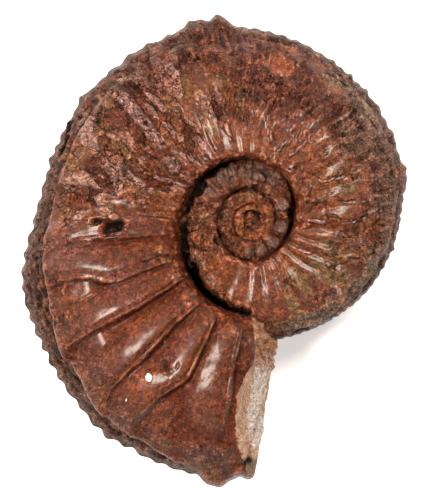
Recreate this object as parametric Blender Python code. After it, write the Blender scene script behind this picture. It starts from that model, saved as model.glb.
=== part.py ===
"""Fossil Cardioceras ammonite, lying on its flank.

The coil is a logarithmic spiral. Each whorl is a heart-shaped section that runs from the seam,
where it sits on the whorl before, over the flank to a sharp notched keel. A coil angle of 270
degrees is the broken aperture, and one turn back along the coil takes 360 degrees off it.
Lengths are in millimetres until the vertices are written, which is done in metres.
"""

import math

import bmesh
import bpy
import numpy as np
from mathutils import Matrix, Vector, noise

# Driving dimensions, in millimetres and degrees.
MM = 0.001
TURN = 360.0
APERTURE = 270.0
VENTER_START = APERTURE - TURN

# Radius of the keel and of the seam from the coil's axis, against the coil angle.
KEEL = (
    (-90, 23.0), (-60, 24.0), (-30, 26.1), (0, 28.5), (30, 31.4), (60, 34.0), (90, 37.0),
    (120, 39.0), (150, 39.8), (180, 41.5), (195, 45.6), (210, 46.9), (240, 49.5), (270, 49.6),
)
SEAM = (
    (-810, 2.0), (-630, 3.0), (-450, 4.1), (-360, 4.4), (-270, 5.9), (-180, 6.7), (-90, 7.9),
    (-30, 7.6), (0, 8.0), (30, 9.2), (60, 10.4), (90, 11.4), (150, 12.5), (180, 13.5),
    (210, 15.0), (240, 16.7), (270, 18.2),
)
INNER_GROWTH = 2.15
TABLE_SMOOTHING = 10.0
HALF_THICKNESS_RATIO = 0.245

# Section of a whorl: share of the way from seam to keel, and share of the half thickness.
SHOULDER = 0.2
WALL = ((0.0, 0.0), (0.015, 0.5), (0.04, 0.77), (0.08, 0.92), (0.13, 0.98), (SHOULDER, 1.0))
FLANK = (
    (SHOULDER, 1.0), (0.32, 0.985), (0.45, 0.94), (0.62, 0.82), (0.75, 0.67), (0.84, 0.52),
    (0.90, 0.37), (0.95, 0.24), (0.98, 0.14), (1.0, 0.0),
)
INNER_ROWS = (0.0, 0.025, 0.06, 0.12, 0.2, 0.3, 0.44, 0.58, 0.72, 0.86, 1.0)
OUTER_ROWS = (0.0, 0.14, 0.28, 0.42, 0.54, 0.64, 0.72, 0.80, 0.88, 0.95, 1.0)
COLUMN_STEP = 2.0
INNERMOST_ANGLE = -1170.0
SEAM_GROOVE = 0.9

# Ribs: coil angle at mid flank, share of the flank where the rib starts, and its strength.
PRIMARY_START = 0.04
SECONDARY_START = 0.5
BODY_RIBS = (
    (188.0, PRIMARY_START, 0.8), (198.0, PRIMARY_START, 1.0), (207.0, SECONDARY_START, 0.7),
    (215.0, PRIMARY_START, 1.0), (223.0, SECONDARY_START, 0.7), (231.0, PRIMARY_START, 1.2),
    (241.5, PRIMARY_START, 1.0), (249.5, SECONDARY_START, 0.6), (257.0, PRIMARY_START, 0.8),
)
YOUNG_RIB_PITCH = 8.5
YOUNG_RIBS_END = 182.0
YOUNG_RIB_STRENGTH = 0.8
YOUNG_RIB_FADE = (0.3, 0.75)
YOUNG_RIB_OUTER_LOSS = 0.65
RIB_HEIGHT = 1.5
RIB_RISE_ANGLE = 6.0
RIB_FALL_ANGLE = 2.8
RIB_LEAN = (
    (0.0, 8.0), (0.15, 5.5), (0.35, 4.5), (0.5, 2.8), (0.65, 0.5), (0.78, 0.0),
    (0.86, 1.0), (0.92, 3.0), (1.0, 5.0),
)
LEDGE = 0.885
LEDGE_WIDTH = 0.03
LEDGE_DROP = 0.8
LEDGE_FADE = (130.0, 185.0)

# Keel notches, and lumps of rock on the keel as (coil angle, height, half width in degrees).
NOTCHES_PER_TURN = 90
NOTCH_DEPTH = 0.5
KEEL_LUMPS = (
    (15.0, 0.8, 5.0), (99.0, 2.3, 2.5), (106.0, 2.0, 4.5), (144.0, 0.9, 2.5), (235.0, 0.8, 4.0),
    (262.0, 1.8, 3.0),
)

# Coil angle of the broken edge against the share of the way from seam to keel.
BREAK_FRONT = (
    (0.0, 269.5), (0.15, 271.0), (0.26, 270.0), (0.38, 265.6), (0.57, 264.5), (0.8, 266.2),
    (1.0, 270.6),
)
BREAK_BACK = ((0.0, 269.5), (0.3, 272.5), (0.6, 272.5), (1.0, 270.6))
BREAK_SHEAR = 30.0
BREAK_STEPS = 10
BREAK_ROUGHNESS = 0.5
BREAK_LUMP_SIZE = 4.0
VENTER_SKEW = 12.0

# Dents in the front flank as (coil angle, share from seam to keel, radius, depth).
DENTS = ((183.0, 0.46, 2.2, 1.6), (171.0, 0.86, 1.6, 0.9), (238.0, 0.43, 1.8, 0.5))

# Pose: the shell rests on the ribs of its back flank, which are worn flat where they touch.
TILT_X = -4.7
TILT_Y = 1.4
WEAR = 0.9
CUTTER_WIDTH = 120.0
CUTTER_DEPTH = 10.0
TRIANGLES = 9500
WELD = 0.002


def from_table(table, value):
    """Read a table of (position, amount) pairs at any position."""
    positions, amounts = np.array(table).T
    return np.interp(value, positions, amounts)


def smooth_step(start, end, value):
    """Go from 0 at start to 1 at end without a corner."""
    share = np.clip((value - start) / (end - start), 0.0, 1.0)
    return share * share * (3.0 - 2.0 * share)


def spiral_radius(table, angle):
    """Radius at a coil angle; before the table starts, each turn back shrinks it evenly."""
    first, last = table[0][0], table[-1][0]
    total = 0.0
    for offset in (-TABLE_SMOOTHING, -TABLE_SMOOTHING / 2, 0, TABLE_SMOOTHING / 2, TABLE_SMOOTHING):
        place = np.minimum(angle + offset, last)
        turns = np.maximum(0.0, np.ceil((first - place) / TURN))
        total = total + from_table(table, place + turns * TURN) / INNER_GROWTH ** turns
    return total / 5.0


def keel_radius(angle):
    return spiral_radius(KEEL, angle)


def seam_radius(angle):
    return spiral_radius(SEAM, angle)


def half_thickness(angle):
    return HALF_THICKNESS_RATIO * keel_radius(angle)


def cover_share(angle):
    """Share of the way from seam to keel at which the next whorl's seam lies on this one."""
    inner, outer = seam_radius(angle), keel_radius(angle)
    return (seam_radius(angle + TURN) - inner) / (outer - inner)


def rib_height(angle, share):
    """Height of the ribs above the flank, as a share of RIB_HEIGHT."""
    young = np.arange(INNERMOST_ANGLE, YOUNG_RIBS_END, YOUNG_RIB_PITCH)
    ribs = [(place, PRIMARY_START, YOUNG_RIB_STRENGTH) for place in young]
    straight = angle - from_table(RIB_LEAN, share)
    height = np.zeros_like(straight)
    for place, start, strength in ribs + list(BODY_RIBS):
        rise = smooth_step(place - RIB_RISE_ANGLE, place, straight)
        fall = 1.0 - smooth_step(place, place + RIB_FALL_ANGLE, straight)
        height = np.maximum(height, strength * rise * fall * smooth_step(start, start + 0.12, share))
    young_part = 1.0 - smooth_step(*LEDGE_FADE, angle)
    worn = YOUNG_RIB_OUTER_LOSS * smooth_step(*YOUNG_RIB_FADE, share) * young_part
    return height * (1.0 - worn) * (1.0 - smooth_step(LEDGE, LEDGE + LEDGE_WIDTH, share))


def shell_points(angle, share, side):
    """Points of the shell on one side (front +1, back -1), for arrays of coil angles and shares."""
    seam, keel = seam_radius(angle), keel_radius(angle)
    thick = half_thickness(angle)
    before = half_thickness(angle - TURN) * from_table(FLANK, cover_share(angle - TURN))
    groove = SEAM_GROOVE * keel / keel_radius(APERTURE)
    floor = before - groove
    wall = floor + (thick - floor) * from_table(WALL, share)
    height = np.where(share < SHOULDER, wall, thick * from_table(FLANK, share))
    radius = seam + (keel - seam) * share

    size = keel / keel_radius(APERTURE)
    ledge = LEDGE_DROP * smooth_step(*LEDGE_FADE, angle)
    ledge = ledge * smooth_step(LEDGE, LEDGE + LEDGE_WIDTH, share)
    relief = RIB_HEIGHT * size * rib_height(angle, share) - ledge
    if side > 0:
        for place, level, width, depth in DENTS:
            along = np.radians(angle - place) * radius
            across = (share - level) * (keel - seam)
            relief = relief - depth * np.exp(-(along ** 2 + across ** 2) / width ** 2)
    lift = np.sqrt(np.clip((1.0 - share) / (1.0 - LEDGE), 0.0, 1.0))
    height = height + relief * lift * smooth_step(0.0, 0.05, share)

    notch = 0.5 - 0.5 * np.cos(np.radians(angle * NOTCHES_PER_TURN))
    outward = -NOTCH_DEPTH * size * notch
    for place, lump, width in KEEL_LUMPS:
        outward = outward + lump * np.exp(-((angle - place) / width) ** 2)
    radius = radius + outward * smooth_step(0.9, 1.0, share)

    turned = np.radians(angle)
    return np.stack((radius * np.cos(turned), radius * np.sin(turned), side * height), axis=-1)


def inner_sheet(side):
    """Points from the centre to the aperture, from each seam to the seam of the next whorl."""
    columns = int(round((APERTURE - INNERMOST_ANGLE) / COLUMN_STEP)) + 1
    coil = np.linspace(INNERMOST_ANGLE, APERTURE, columns)
    angle, level = np.meshgrid(coil, INNER_ROWS, indexing="ij")
    share = level * cover_share(angle)
    outer = angle >= VENTER_START
    share = np.where(outer, level * cover_share(VENTER_START), share)
    points = shell_points(bent(angle, share, side), share, side)
    # The last row of a covered whorl is the first row of the whorl one turn on.
    step = int(round(TURN / COLUMN_STEP))
    points[:-step, -1] = points[step:, 0]
    return points


def bent(angle, share, side):
    """Shear the columns of the last whorl so that they end on the broken edge."""
    edge = from_table(BREAK_FRONT if side > 0 else BREAK_BACK, share)
    pull = smooth_step(APERTURE - BREAK_SHEAR, APERTURE, angle)
    return angle + pull * (edge - APERTURE)


def venter_sheet(side):
    """Points of the last whorl from the level of the seam out to the keel."""
    columns = int(round(TURN / COLUMN_STEP)) + 1
    coil = np.linspace(VENTER_START, APERTURE, columns)
    angle, level = np.meshgrid(coil, OUTER_ROWS, indexing="ij")
    covered = cover_share(VENTER_START)
    share = covered + (1.0 - covered) * level
    skew = VENTER_SKEW * level * (1.0 - smooth_step(VENTER_START, VENTER_START + TURN / 6, angle))
    return shell_points(bent(angle + skew, share, side), share, side)


def break_sheet(inner, venter):
    """Points of one half of the broken face, between the last section and the whorl before."""
    outer_edge = np.concatenate((inner[-1], venter[-1][1:]))
    steps = len(outer_edge) - 1
    reach = np.arange(steps + 1) * (len(OUTER_ROWS) - 1) // steps
    inner_edge = venter[0][reach]
    across = np.linspace(0.0, 1.0, BREAK_STEPS + 1)[:, None, None]
    points = outer_edge + (inner_edge - outer_edge) * across
    for row in points[1:-1]:
        for point in row[1:]:
            bump = noise.noise_vector(Vector(point) / BREAK_LUMP_SIZE)
            bump.z *= min(1.0, abs(point[2]))
            point += BREAK_ROUGHNESS * np.array(bump)
    return points


def add_sheet(mesh, points):
    """Add a grid to the mesh and move its vertices to the points."""
    columns, rows = points.shape[0] - 1, points.shape[1] - 1
    grid = bmesh.ops.create_grid(mesh, x_segments=columns, y_segments=rows, size=1.0)["verts"]
    for vertex in grid:
        column = round((vertex.co.x + 1.0) / 2.0 * columns)
        row = round((vertex.co.y + 1.0) / 2.0 * rows)
        vertex.co = Vector(points[column, row])


def build_shell():
    """Make the closed shell as one mesh round the coil's axis, in millimetres."""
    mesh = bmesh.new()
    for side in (1, -1):
        inner = inner_sheet(side)
        venter = venter_sheet(side)
        # The seam at the aperture is the point where both whorls meet.
        venter[0, 0] = inner[-1, 0]
        add_sheet(mesh, inner)
        add_sheet(mesh, venter)
        add_sheet(mesh, break_sheet(inner, venter))
    bmesh.ops.remove_doubles(mesh, verts=mesh.verts, dist=WELD)
    bmesh.ops.holes_fill(mesh, edges=mesh.edges, sides=0)
    bmesh.ops.recalc_face_normals(mesh, faces=mesh.faces)
    return mesh


def stone_material():
    material = bpy.data.materials.new("fossil_stone")
    material.use_nodes = True
    shader = material.node_tree.nodes["Principled BSDF"]
    shader.inputs["Base Color"].default_value = (0.21, 0.08, 0.047, 1.0)
    shader.inputs["Roughness"].default_value = 0.42
    shader.inputs["Metallic"].default_value = 0.0
    return material


def lay_down(mesh):
    """Tilt the shell onto its back flank and put the middle of its box over the origin."""
    tilt = Matrix.Rotation(math.radians(TILT_X), 4, "X") @ Matrix.Rotation(math.radians(TILT_Y), 4, "Y")
    mesh.transform(tilt)
    places = np.array([vertex.co for vertex in mesh.verts])
    lowest, highest = places.min(axis=0), places.max(axis=0)
    middle = (lowest + highest) / 2.0
    mesh.transform(Matrix.Translation((-middle[0], -middle[1], -WEAR - lowest[2])))
    mesh.transform(Matrix.Scale(MM, 4))


def new_collection(name):
    collection = bpy.data.collections.new(name)
    bpy.context.scene.collection.children.link(collection)
    return collection


def add_wear_cutter(collection):
    """A block below the floor; what it takes off leaves the worn flats that the shell rests on."""
    bpy.ops.mesh.primitive_cube_add(size=1.0)
    cutter = bpy.context.object
    cutter.name = "wear_cutter"
    cutter.scale = (CUTTER_WIDTH * MM, CUTTER_WIDTH * MM, CUTTER_DEPTH * MM)
    cutter.location = (0.0, 0.0, -CUTTER_DEPTH / 2.0 * MM)
    cutter.display_type = "WIRE"
    cutter.hide_render = True
    for owner in list(cutter.users_collection):
        owner.objects.unlink(cutter)
    collection.objects.link(cutter)
    return cutter


def add_ammonite(collection, cutter):
    mesh = build_shell()
    lay_down(mesh)
    triangles = sum(len(face.verts) - 2 for face in mesh.faces)
    data = bpy.data.meshes.new("ammonite")
    mesh.to_mesh(data)
    mesh.free()
    data.materials.append(stone_material())
    ammonite = bpy.data.objects.new("ammonite", data)
    collection.objects.link(ammonite)
    for polygon in data.polygons:
        polygon.use_smooth = True

    thin = ammonite.modifiers.new("fewer_triangles", "DECIMATE")
    thin.ratio = TRIANGLES / triangles
    worn = ammonite.modifiers.new("worn_flat", "BOOLEAN")
    worn.operation = "DIFFERENCE"
    worn.solver = "EXACT"
    worn.object = cutter
    return ammonite


def main():
    for old in list(bpy.data.objects):
        bpy.data.objects.remove(old)
    cutters = new_collection("cutters")
    parts = new_collection("cardioceras_ammonite")
    add_ammonite(parts, add_wear_cutter(cutters))


main()
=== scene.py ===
import math

import bpy
import numpy as np
from mathutils import Matrix, Vector, noise


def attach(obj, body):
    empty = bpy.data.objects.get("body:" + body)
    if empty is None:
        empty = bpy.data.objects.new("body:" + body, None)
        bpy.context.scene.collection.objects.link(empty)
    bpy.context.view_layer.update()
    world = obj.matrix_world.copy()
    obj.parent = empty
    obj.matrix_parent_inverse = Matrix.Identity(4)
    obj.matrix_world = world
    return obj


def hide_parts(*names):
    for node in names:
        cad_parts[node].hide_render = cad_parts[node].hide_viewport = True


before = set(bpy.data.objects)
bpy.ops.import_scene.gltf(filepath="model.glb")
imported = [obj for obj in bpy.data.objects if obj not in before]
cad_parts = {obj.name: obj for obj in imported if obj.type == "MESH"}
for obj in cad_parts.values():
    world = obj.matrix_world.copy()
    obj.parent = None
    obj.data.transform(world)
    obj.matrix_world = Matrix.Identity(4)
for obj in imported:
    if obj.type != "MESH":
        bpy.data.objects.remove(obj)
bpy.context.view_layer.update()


# The coil: a shell that grew as a logarithmic spiral, each whorl lapping over the one before and
# narrowing to a notched keel. Its filling set to stone, so skin and filling are one solid piece.
# Sizes are in millimetres and degrees; a coil angle of 270 is the broken aperture, and one turn
# back along the coil takes 360 off it. A share of 0 is the seam and a share of 1 is the keel.
MM = 0.001
TURN = 360.0
APERTURE = 270.0
VENTER_START = APERTURE - TURN
KEEL = (
    (-90, 23.1), (-60, 23.9), (-30, 26), (0, 28.4), (30, 31.4), (60, 33.9), (90, 36.9),
    (120, 38.9), (150, 39.7), (178, 41.2), (195, 45.3), (210, 46.6), (240, 49.3), (270, 49.6),
)
SEAM = (
    (-810, 2), (-630, 3.1), (-450, 4.2), (-360, 4.5), (-270, 6.1), (-180, 6.7), (-90, 7.9),
    (-30, 7.6), (0, 8), (30, 9.2), (60, 10.4), (90, 11.4), (150, 12.6), (180, 13.5),
    (210, 15), (240, 17), (270, 18.2),
)
INNER_GROWTH = 2.15
HALF_THICKNESS_RATIO = 0.245
SHOULDER = 0.1
WALL = ((0.0, 0.0), (0.006, 0.58), (0.014, 0.82), (0.03, 0.945), (0.06, 0.99), (SHOULDER, 1.0))
FLANK = (
    (SHOULDER, 1.0), (0.2, 0.998), (0.32, 0.98), (0.45, 0.94), (0.62, 0.82), (0.75, 0.67), (0.84, 0.52),
    (0.9, 0.37), (0.95, 0.24), (0.98, 0.14), (1, 0),
)
# Depth and width of the crevice along the seam, against the coil angle.
CREVICE = (
    (-90, 1), (-50, 1.8), (20, 1.9), (50, 0.8), (100, 0.6), (120, 0.9), (145, 1), (165, 0.3),
    (180, 0.3), (195, 0.8), (215, 2.2), (240, 4), (262, 3), (270, 2),
)
CREVICE_SPAN = (
    (-90, 0.35), (-50, 0.55), (-20, 0.8), (20, 0.75), (45, 0.3), (100, 0.35), (118, 0.6), (135, 0.9),
    (152, 0.6), (168, 0.25), (188, 0.25), (203, 0.8), (220, 1.5), (245, 1.5), (262, 1.2), (270, 0.9),
)
# How many times wider than in WALL the rounded wall beside the seam is, against the coil angle.
SOFTER_WALL = (
    (-450, 2.6), (-300, 2.2), (-200, 1), (-90, 1), (0, 1), (100, 1), (140, 1.4), (175, 3.2),
    (205, 1.3),
)


def curve_through(table, value):
    """Read a smooth curve through a table of (position, amount) pairs."""
    places, amounts = np.array(table, dtype=float).T
    value = np.clip(value, places[0], places[-1])
    slopes = np.gradient(amounts, places)
    low = np.clip(np.searchsorted(places, value) - 1, 0, len(places) - 2)
    gap = places[low + 1] - places[low]
    t = (value - places[low]) / gap
    start = (1 + 2 * t) * (1 - t) ** 2 * amounts[low] + t * (1 - t) ** 2 * gap * slopes[low]
    return start + t * t * (3 - 2 * t) * amounts[low + 1] - t * t * (1 - t) * gap * slopes[low + 1]


def smooth_step(start, end, value):
    """Go from 0 at start to 1 at end without a corner."""
    share = np.clip((value - start) / (end - start), 0.0, 1.0)
    return share * share * (3.0 - 2.0 * share)


def spiral_radius(table, angle):
    """Radius at a coil angle; before the table starts, each turn back shrinks it evenly."""
    turns = np.maximum(0.0, np.ceil((table[0][0] - angle) / TURN))
    return curve_through(table, angle + turns * TURN) / INNER_GROWTH ** turns


def keel_radius(angle):
    return spiral_radius(KEEL, angle)


def seam_radius(angle):
    return spiral_radius(SEAM, angle)


def whorl_height(angle):
    return keel_radius(angle) - seam_radius(angle)


def coil_radius(angle, share):
    return seam_radius(angle) + whorl_height(angle) * share


def flat_place(angle, share):
    """Place on the flattened coil in mm, for measuring distances across the skin."""
    radius, turned = coil_radius(angle, share), np.radians(angle)
    return radius * np.cos(turned), radius * np.sin(turned)


def flank_height(angle, share):
    return HALF_THICKNESS_RATIO * keel_radius(angle) * curve_through(FLANK, share)


def cover_share(angle):
    """Share at which the next whorl's seam lies on this whorl."""
    return (seam_radius(angle + TURN) - seam_radius(angle)) / whorl_height(angle)


def coil_run(angle):
    """Length in mm along the middle of the coil up to an angle."""
    fine = np.linspace(-3.5 * TURN, TURN, 1201)
    step = np.radians(fine[1] - fine[0])
    return np.interp(angle, fine, np.cumsum(0.62 * keel_radius(fine)) * step)


def whorl_size(angle):
    """Size of the whorl as a share of its size at the aperture."""
    return keel_radius(angle) / keel_radius(APERTURE)


def bare_surface(angle, share, side):
    """Place on the shell without ribs or damage, on the front side +1 or the back side -1."""
    floor = flank_height(angle - TURN, cover_share(angle - TURN))
    floor = floor - curve_through(CREVICE, angle) * np.sqrt(whorl_size(angle))
    wall = curve_through(WALL, share / curve_through(SOFTER_WALL, angle))
    height = floor + (flank_height(angle, share) - floor) * wall
    return np.stack((*flat_place(angle, share), side * height), axis=-1)


def surface_normal(angle, share, side):
    """Outward direction of the bare shell."""
    turn_step, share_step = 0.25, 0.004
    ahead = bare_surface(angle + turn_step, share, side) - bare_surface(angle - turn_step, share, side)
    high, low = np.minimum(share + share_step, 1.0), np.maximum(share - share_step, 0.0)
    outward = bare_surface(angle, high, side) - bare_surface(angle, low, side)
    normal = np.cross(outward, ahead) * side
    return normal / np.linalg.norm(normal, axis=-1, keepdims=True)


# The ribs: folds of the shell wall that the animal grew. On the living chamber each climbs
# slowly to a broad crest, ends in a sharp edge and drops steeply, then hooks forward at the ledge
# where it meets the keel band. The older ribs are closer together, weaker and worn.
RIB_HEIGHT = 1.7
# Strength, how far the crest comes before the sharp edge, then the edge as (share, coil angle).
BODY_RIBS = (
    (0.7, 4.5, ((0.04, 190.5), (0.3, 188.7), (0.55, 187.2), (0.76, 188.7), (0.89, 193.5))),
    (0.4, 3.5, ((0.5, 195.8), (0.62, 194.8), (0.8, 194))),
    (1, 5.5, ((0.06, 208), (0.19, 205.8), (0.31, 205.2), (0.4, 205), (0.48, 203.3), (0.56, 200.3),
                 (0.67, 198.5), (0.77, 198.2), (0.84, 199.6), (0.88, 203))),
    (0.55, 3, ((0.52, 205.4), (0.62, 206.5), (0.77, 207), (0.84, 207.8), (0.89, 211.5))),
    (1.2, 2.6, ((0.04, 220.8), (0.3, 218.3), (0.5, 216.4), (0.7, 215.1), (0.83, 215.4), (0.89, 219))),
    (0.5, 3, ((0.58, 222.4), (0.8, 223.3), (0.91, 227))),
    (1.25, 3, ((0.04, 238.2), (0.2, 234.5), (0.46, 232.4), (0.7, 230.8), (0.82, 231.2), (0.91, 234.5))),
    (1.2, 3, ((0.06, 249.7), (0.3, 248.8), (0.45, 247.7), (0.6, 242.9), (0.72, 241), (0.85, 240.2),
                 (0.92, 243.5))),
    (0.4, 4, ((0.6, 248.9), (0.86, 249.2), (0.94, 253))),
    (0.8, 4, ((0.05, 265), (0.25, 263.2), (0.38, 262.6), (0.5, 262.5), (0.58, 262.2))),
)
CREST_LEAD = ((0, 1), (0.3, 1), (0.5, 0.92), (0.65, 0.7), (0.8, 0.4), (1, 0.25))
BODY_RIB_RISE = 11.5
EDGE_HEIGHT = 0.66
# The thin lip along a sharp edge: height, place before the edge and half width in degrees.
EDGE_LIP = (0.15, 0.35, 0.4)
# Shares over which a rib rises at its inner end, and how much more slowly a short one fades out.
RIB_END_RISE = (0.03, 0.07)
SHORT_RIB_END, SHORT_RIB_FADE, RIB_FADE = 0.8, 0.8, 0.02
EDGE_FALL = ((0, 1.5), (0.4, 1.6), (0.65, 1.8), (0.8, 2.3), (1, 2.5))
BODY_RIB_FADE = ((0, 1), (0.65, 1), (0.85, 0.85), (1, 0.7))
# Coil angle of each older rib near the seam, and how far it leans by mid flank.
YOUNG_RIBS = (
    -101, -87.3, -75.7, -66, -57, -46, -35, -24, -14, 3.5, 16, 30, 42, 52.5, 62, 70, 79, 87.5, 97,
    106, 117, 124, 135, 149.5, 160, 172.5, 180.5,
)
YOUNG_LEAN = (
    (-100, -4), (-60, 0), (-45, 5), (-20, 2), (0, -1), (25, -3), (50, -6.5), (100, -7), (145, -10),
    (175, -4), (190, -3),
)
YOUNG_REACH = (
    (-90, 0.75), (-40, 0.95), (-15, 0.95), (5, 0.6), (40, 0.6), (55, 0.75), (75, 0.55), (110, 0.5),
    (150, 0.7), (170, 0.85), (190, 0.88),
)
YOUNG_RIB_WIDTH = (
    (-100, 4.2), (-60, 4.2), (-20, 4.8), (10, 5.6), (38, 5.4), (60, 3.8), (110, 3.9), (140, 4.6), (190, 4.4),
)
YOUNG_RIB_STRENGTH = (
    (-100, 0.3), (-80, 0.5), (-60, 0.6), (-20, 0.75), (10, 0.65), (60, 0.45), (100, 0.42), (150, 0.5),
    (190, 0.6),
)
OLD_RIBS_END = 184.0
# Distance in mm that stands for no line near.
FAR = 2.0
# The whorls in the umbilicus carry knobs, then fine ribs, and the stretch before -90 is worn smooth.
KNOB_PITCH, KNOB_HEIGHT, KNOB_SHARPNESS = 20.0, 0.7, 1.5
KNOBS_END = -275.0
FINE_RIB_PITCH, FINE_RIB_LEAN = 9.5, 4.0
FINE_RIBS_END = -172.0
SMOOTH_END = -108.0


def body_ribs(angle, share):
    """Height of the ribs of the living chamber, from 0 to about 1.2, and mm past the nearest edge."""
    height, gap = np.zeros_like(angle), np.full_like(angle, FAR)
    radius = coil_radius(angle, share)
    for strength, before, edge in BODY_RIBS:
        lead = before * curve_through(CREST_LEAD, share)
        past_edge = angle - curve_through(edge, share)
        past_crest = past_edge + lead
        climbed = np.clip(past_crest / BODY_RIB_RISE + 1.0, 0.0, 1.0)
        rise = np.sin(np.pi / 2 * climbed) * smooth_step(0.0, 0.4, climbed)
        sag = 1.0 - (1.0 - EDGE_HEIGHT) * smooth_step(0.0, 1.0, past_crest / lead)
        fall = smooth_step(curve_through(EDGE_FALL, share), -0.15, past_edge)
        lip = EDGE_LIP[0] * np.exp(-((past_edge + EDGE_LIP[1]) / EDGE_LIP[2]) ** 2)
        start, end = edge[0][0], edge[-1][0]
        fade = RIB_FADE + SHORT_RIB_FADE * max(0.0, SHORT_RIB_END - end)
        along = smooth_step(start - RIB_END_RISE[0], start + RIB_END_RISE[1], share)
        along *= smooth_step(end + fade, end, share)
        height = np.maximum(height, strength * along * (rise * sag * fall + lip))
        reach = np.abs(np.radians(past_edge) * radius) + (1.0 - along * min(strength, 1.0)) * FAR / 2
        gap = np.where(reach < np.abs(gap), np.copysign(reach, past_edge), gap)
    return height * curve_through(BODY_RIB_FADE, share), gap


def straightened(angle, share):
    """Coil angle at which a leaning older rib through the place starts at the seam."""
    return angle - curve_through(YOUNG_LEAN, angle) * smooth_step(0.1, 0.75, share)


def on_older_part(angle):
    """1 where the last whorl carries the older ribs and 0 on the living chamber."""
    return smooth_step(OLD_RIBS_END + 3.0, OLD_RIBS_END - 3.0, angle)


def young_ribs(angle, share):
    """Height of the older ribs of the last whorl, from 0 to about 1."""
    straight = straightened(angle, share)
    height, width = np.zeros_like(angle), curve_through(YOUNG_RIB_WIDTH, angle)
    for place in YOUNG_RIBS:
        height = np.maximum(height, np.exp(-((straight - place) / width) ** 2))
    reach = curve_through(YOUNG_REACH, angle)
    height = curve_through(YOUNG_RIB_STRENGTH, angle) * height
    return height * smooth_step(0.01, 0.06, share) * smooth_step(reach, reach - 0.25, share)


def inner_ribs(angle, share):
    """Height of the knobs and fine ribs of the whorls in the umbilicus, from 0 to about 1."""
    level = np.clip(share / np.maximum(cover_share(angle), 0.01), 0.0, 1.0)
    knobs = (0.5 + 0.5 * np.cos(np.radians(angle * TURN / KNOB_PITCH))) ** KNOB_SHARPNESS
    fine = 0.5 + 0.5 * np.cos(np.radians((angle + FINE_RIB_LEAN * level) * TURN / FINE_RIB_PITCH))
    late = smooth_step(KNOBS_END - 10.0, KNOBS_END + 10.0, angle)
    height = KNOB_HEIGHT * knobs * np.sin(np.pi * level) * (1.0 - late) + fine * late
    return height * smooth_step(0.0, 0.15, level) * smooth_step(FINE_RIBS_END + 12.0, FINE_RIBS_END, angle)


def ribs(angle, share):
    """Height of every rib, from 0 to about 1.2, and mm past the nearest sharp edge."""
    last, gap = body_ribs(angle, share)
    last = last + young_ribs(angle, share) * on_older_part(angle)
    inner = smooth_step(SMOOTH_END, SMOOTH_END - 6.0, angle)
    return last * (1.0 - inner) + inner_ribs(angle, share) * inner, gap


# The keel band: outside a ledge where the ribs stop, the rim is dull rough rock, notched along
# the keel and carrying a few lumps of the bed it lay in.
LEDGE = (
    (-90, 0.93), (60, 0.92), (100, 0.905), (130, 0.885), (160, 0.885), (178, 0.88), (185, 0.865),
    (191, 0.84), (197, 0.82), (202, 0.835), (208, 0.855), (224, 0.87), (232, 0.89), (241, 0.885),
    (250, 0.93), (258, 0.97), (270, 1.02),
)
LEDGE_DROP = (
    (-90, 0.1), (60, 0.15), (120, 0.3), (160, 0.6), (190, 0.9), (245, 0.9), (260, 0.4), (270, 0.2),
)
LEDGE_WIDTH = 0.018
LIP_HEIGHT = 0.22
LIP_WIDTH = 0.012
NOTCHES = 90
# How far the notches drift from an even spacing, in degrees of their wave, and how often in a turn.
NOTCH_DRIFT, NOTCH_DRIFTS = 60.0, 7.0
NOTCH_DEPTH = ((-90, 0.45), (60, 0.5), (150, 0.55), (185, 0.7), (250, 0.6), (270, 0.3))
# Coil angle, height outwards and half width in degrees of each lump on the keel.
KEEL_LUMPS = (
    (15, 0.8, 5), (99, 2.3, 2.5), (106, 2, 4.5), (144, 0.9, 2.5), (235, 0.8, 4), (262, 1.8, 3),
    (267.3, -0.8, 1.1), (271.6, -1.6, 1.3), (114, 0.6, 1.1), (121, 0.6, 1.2), (126.5, 0.5, 1.2),
    (134, 0.4, 1), (138.3, 0.4, 1), (163, 0.4, 2), (18.5, 0.5, 1.5), (31, 0.5, 1.5),
    (42, 0.4, 1.2), (48.6, 0.4, 1.2), (55.5, 0.35, 1.2), (62.3, 0.35, 1.2), (-12, 0.4, 1.2),
)


def ledge_relief(angle, share):
    """Height lost outside the ledge, with the thin raised lip along it."""
    drop = curve_through(LEDGE_DROP, angle)
    past = share - curve_through(LEDGE, angle)
    lip = LIP_HEIGHT * drop * np.exp(-((past + LIP_WIDTH) / LIP_WIDTH) ** 2)
    return lip - drop * smooth_step(0.0, LEDGE_WIDTH, past)


def keel_growth(angle):
    """How far the keel stands out beyond its smooth spiral."""
    wave = np.radians(angle * NOTCHES + NOTCH_DRIFT * np.sin(np.radians(angle * NOTCH_DRIFTS)))
    uneven = 0.75 + 0.45 * np.sin(np.radians(angle * 31.0)) * np.cos(np.radians(angle * 17.0))
    outward = -curve_through(NOTCH_DEPTH, angle) * uneven * (0.5 - 0.5 * np.cos(wave)) * whorl_size(angle)
    for place, lump, width in KEEL_LUMPS:
        outward = outward + lump * np.exp(-((angle - place) / width) ** 2)
    return outward


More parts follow.
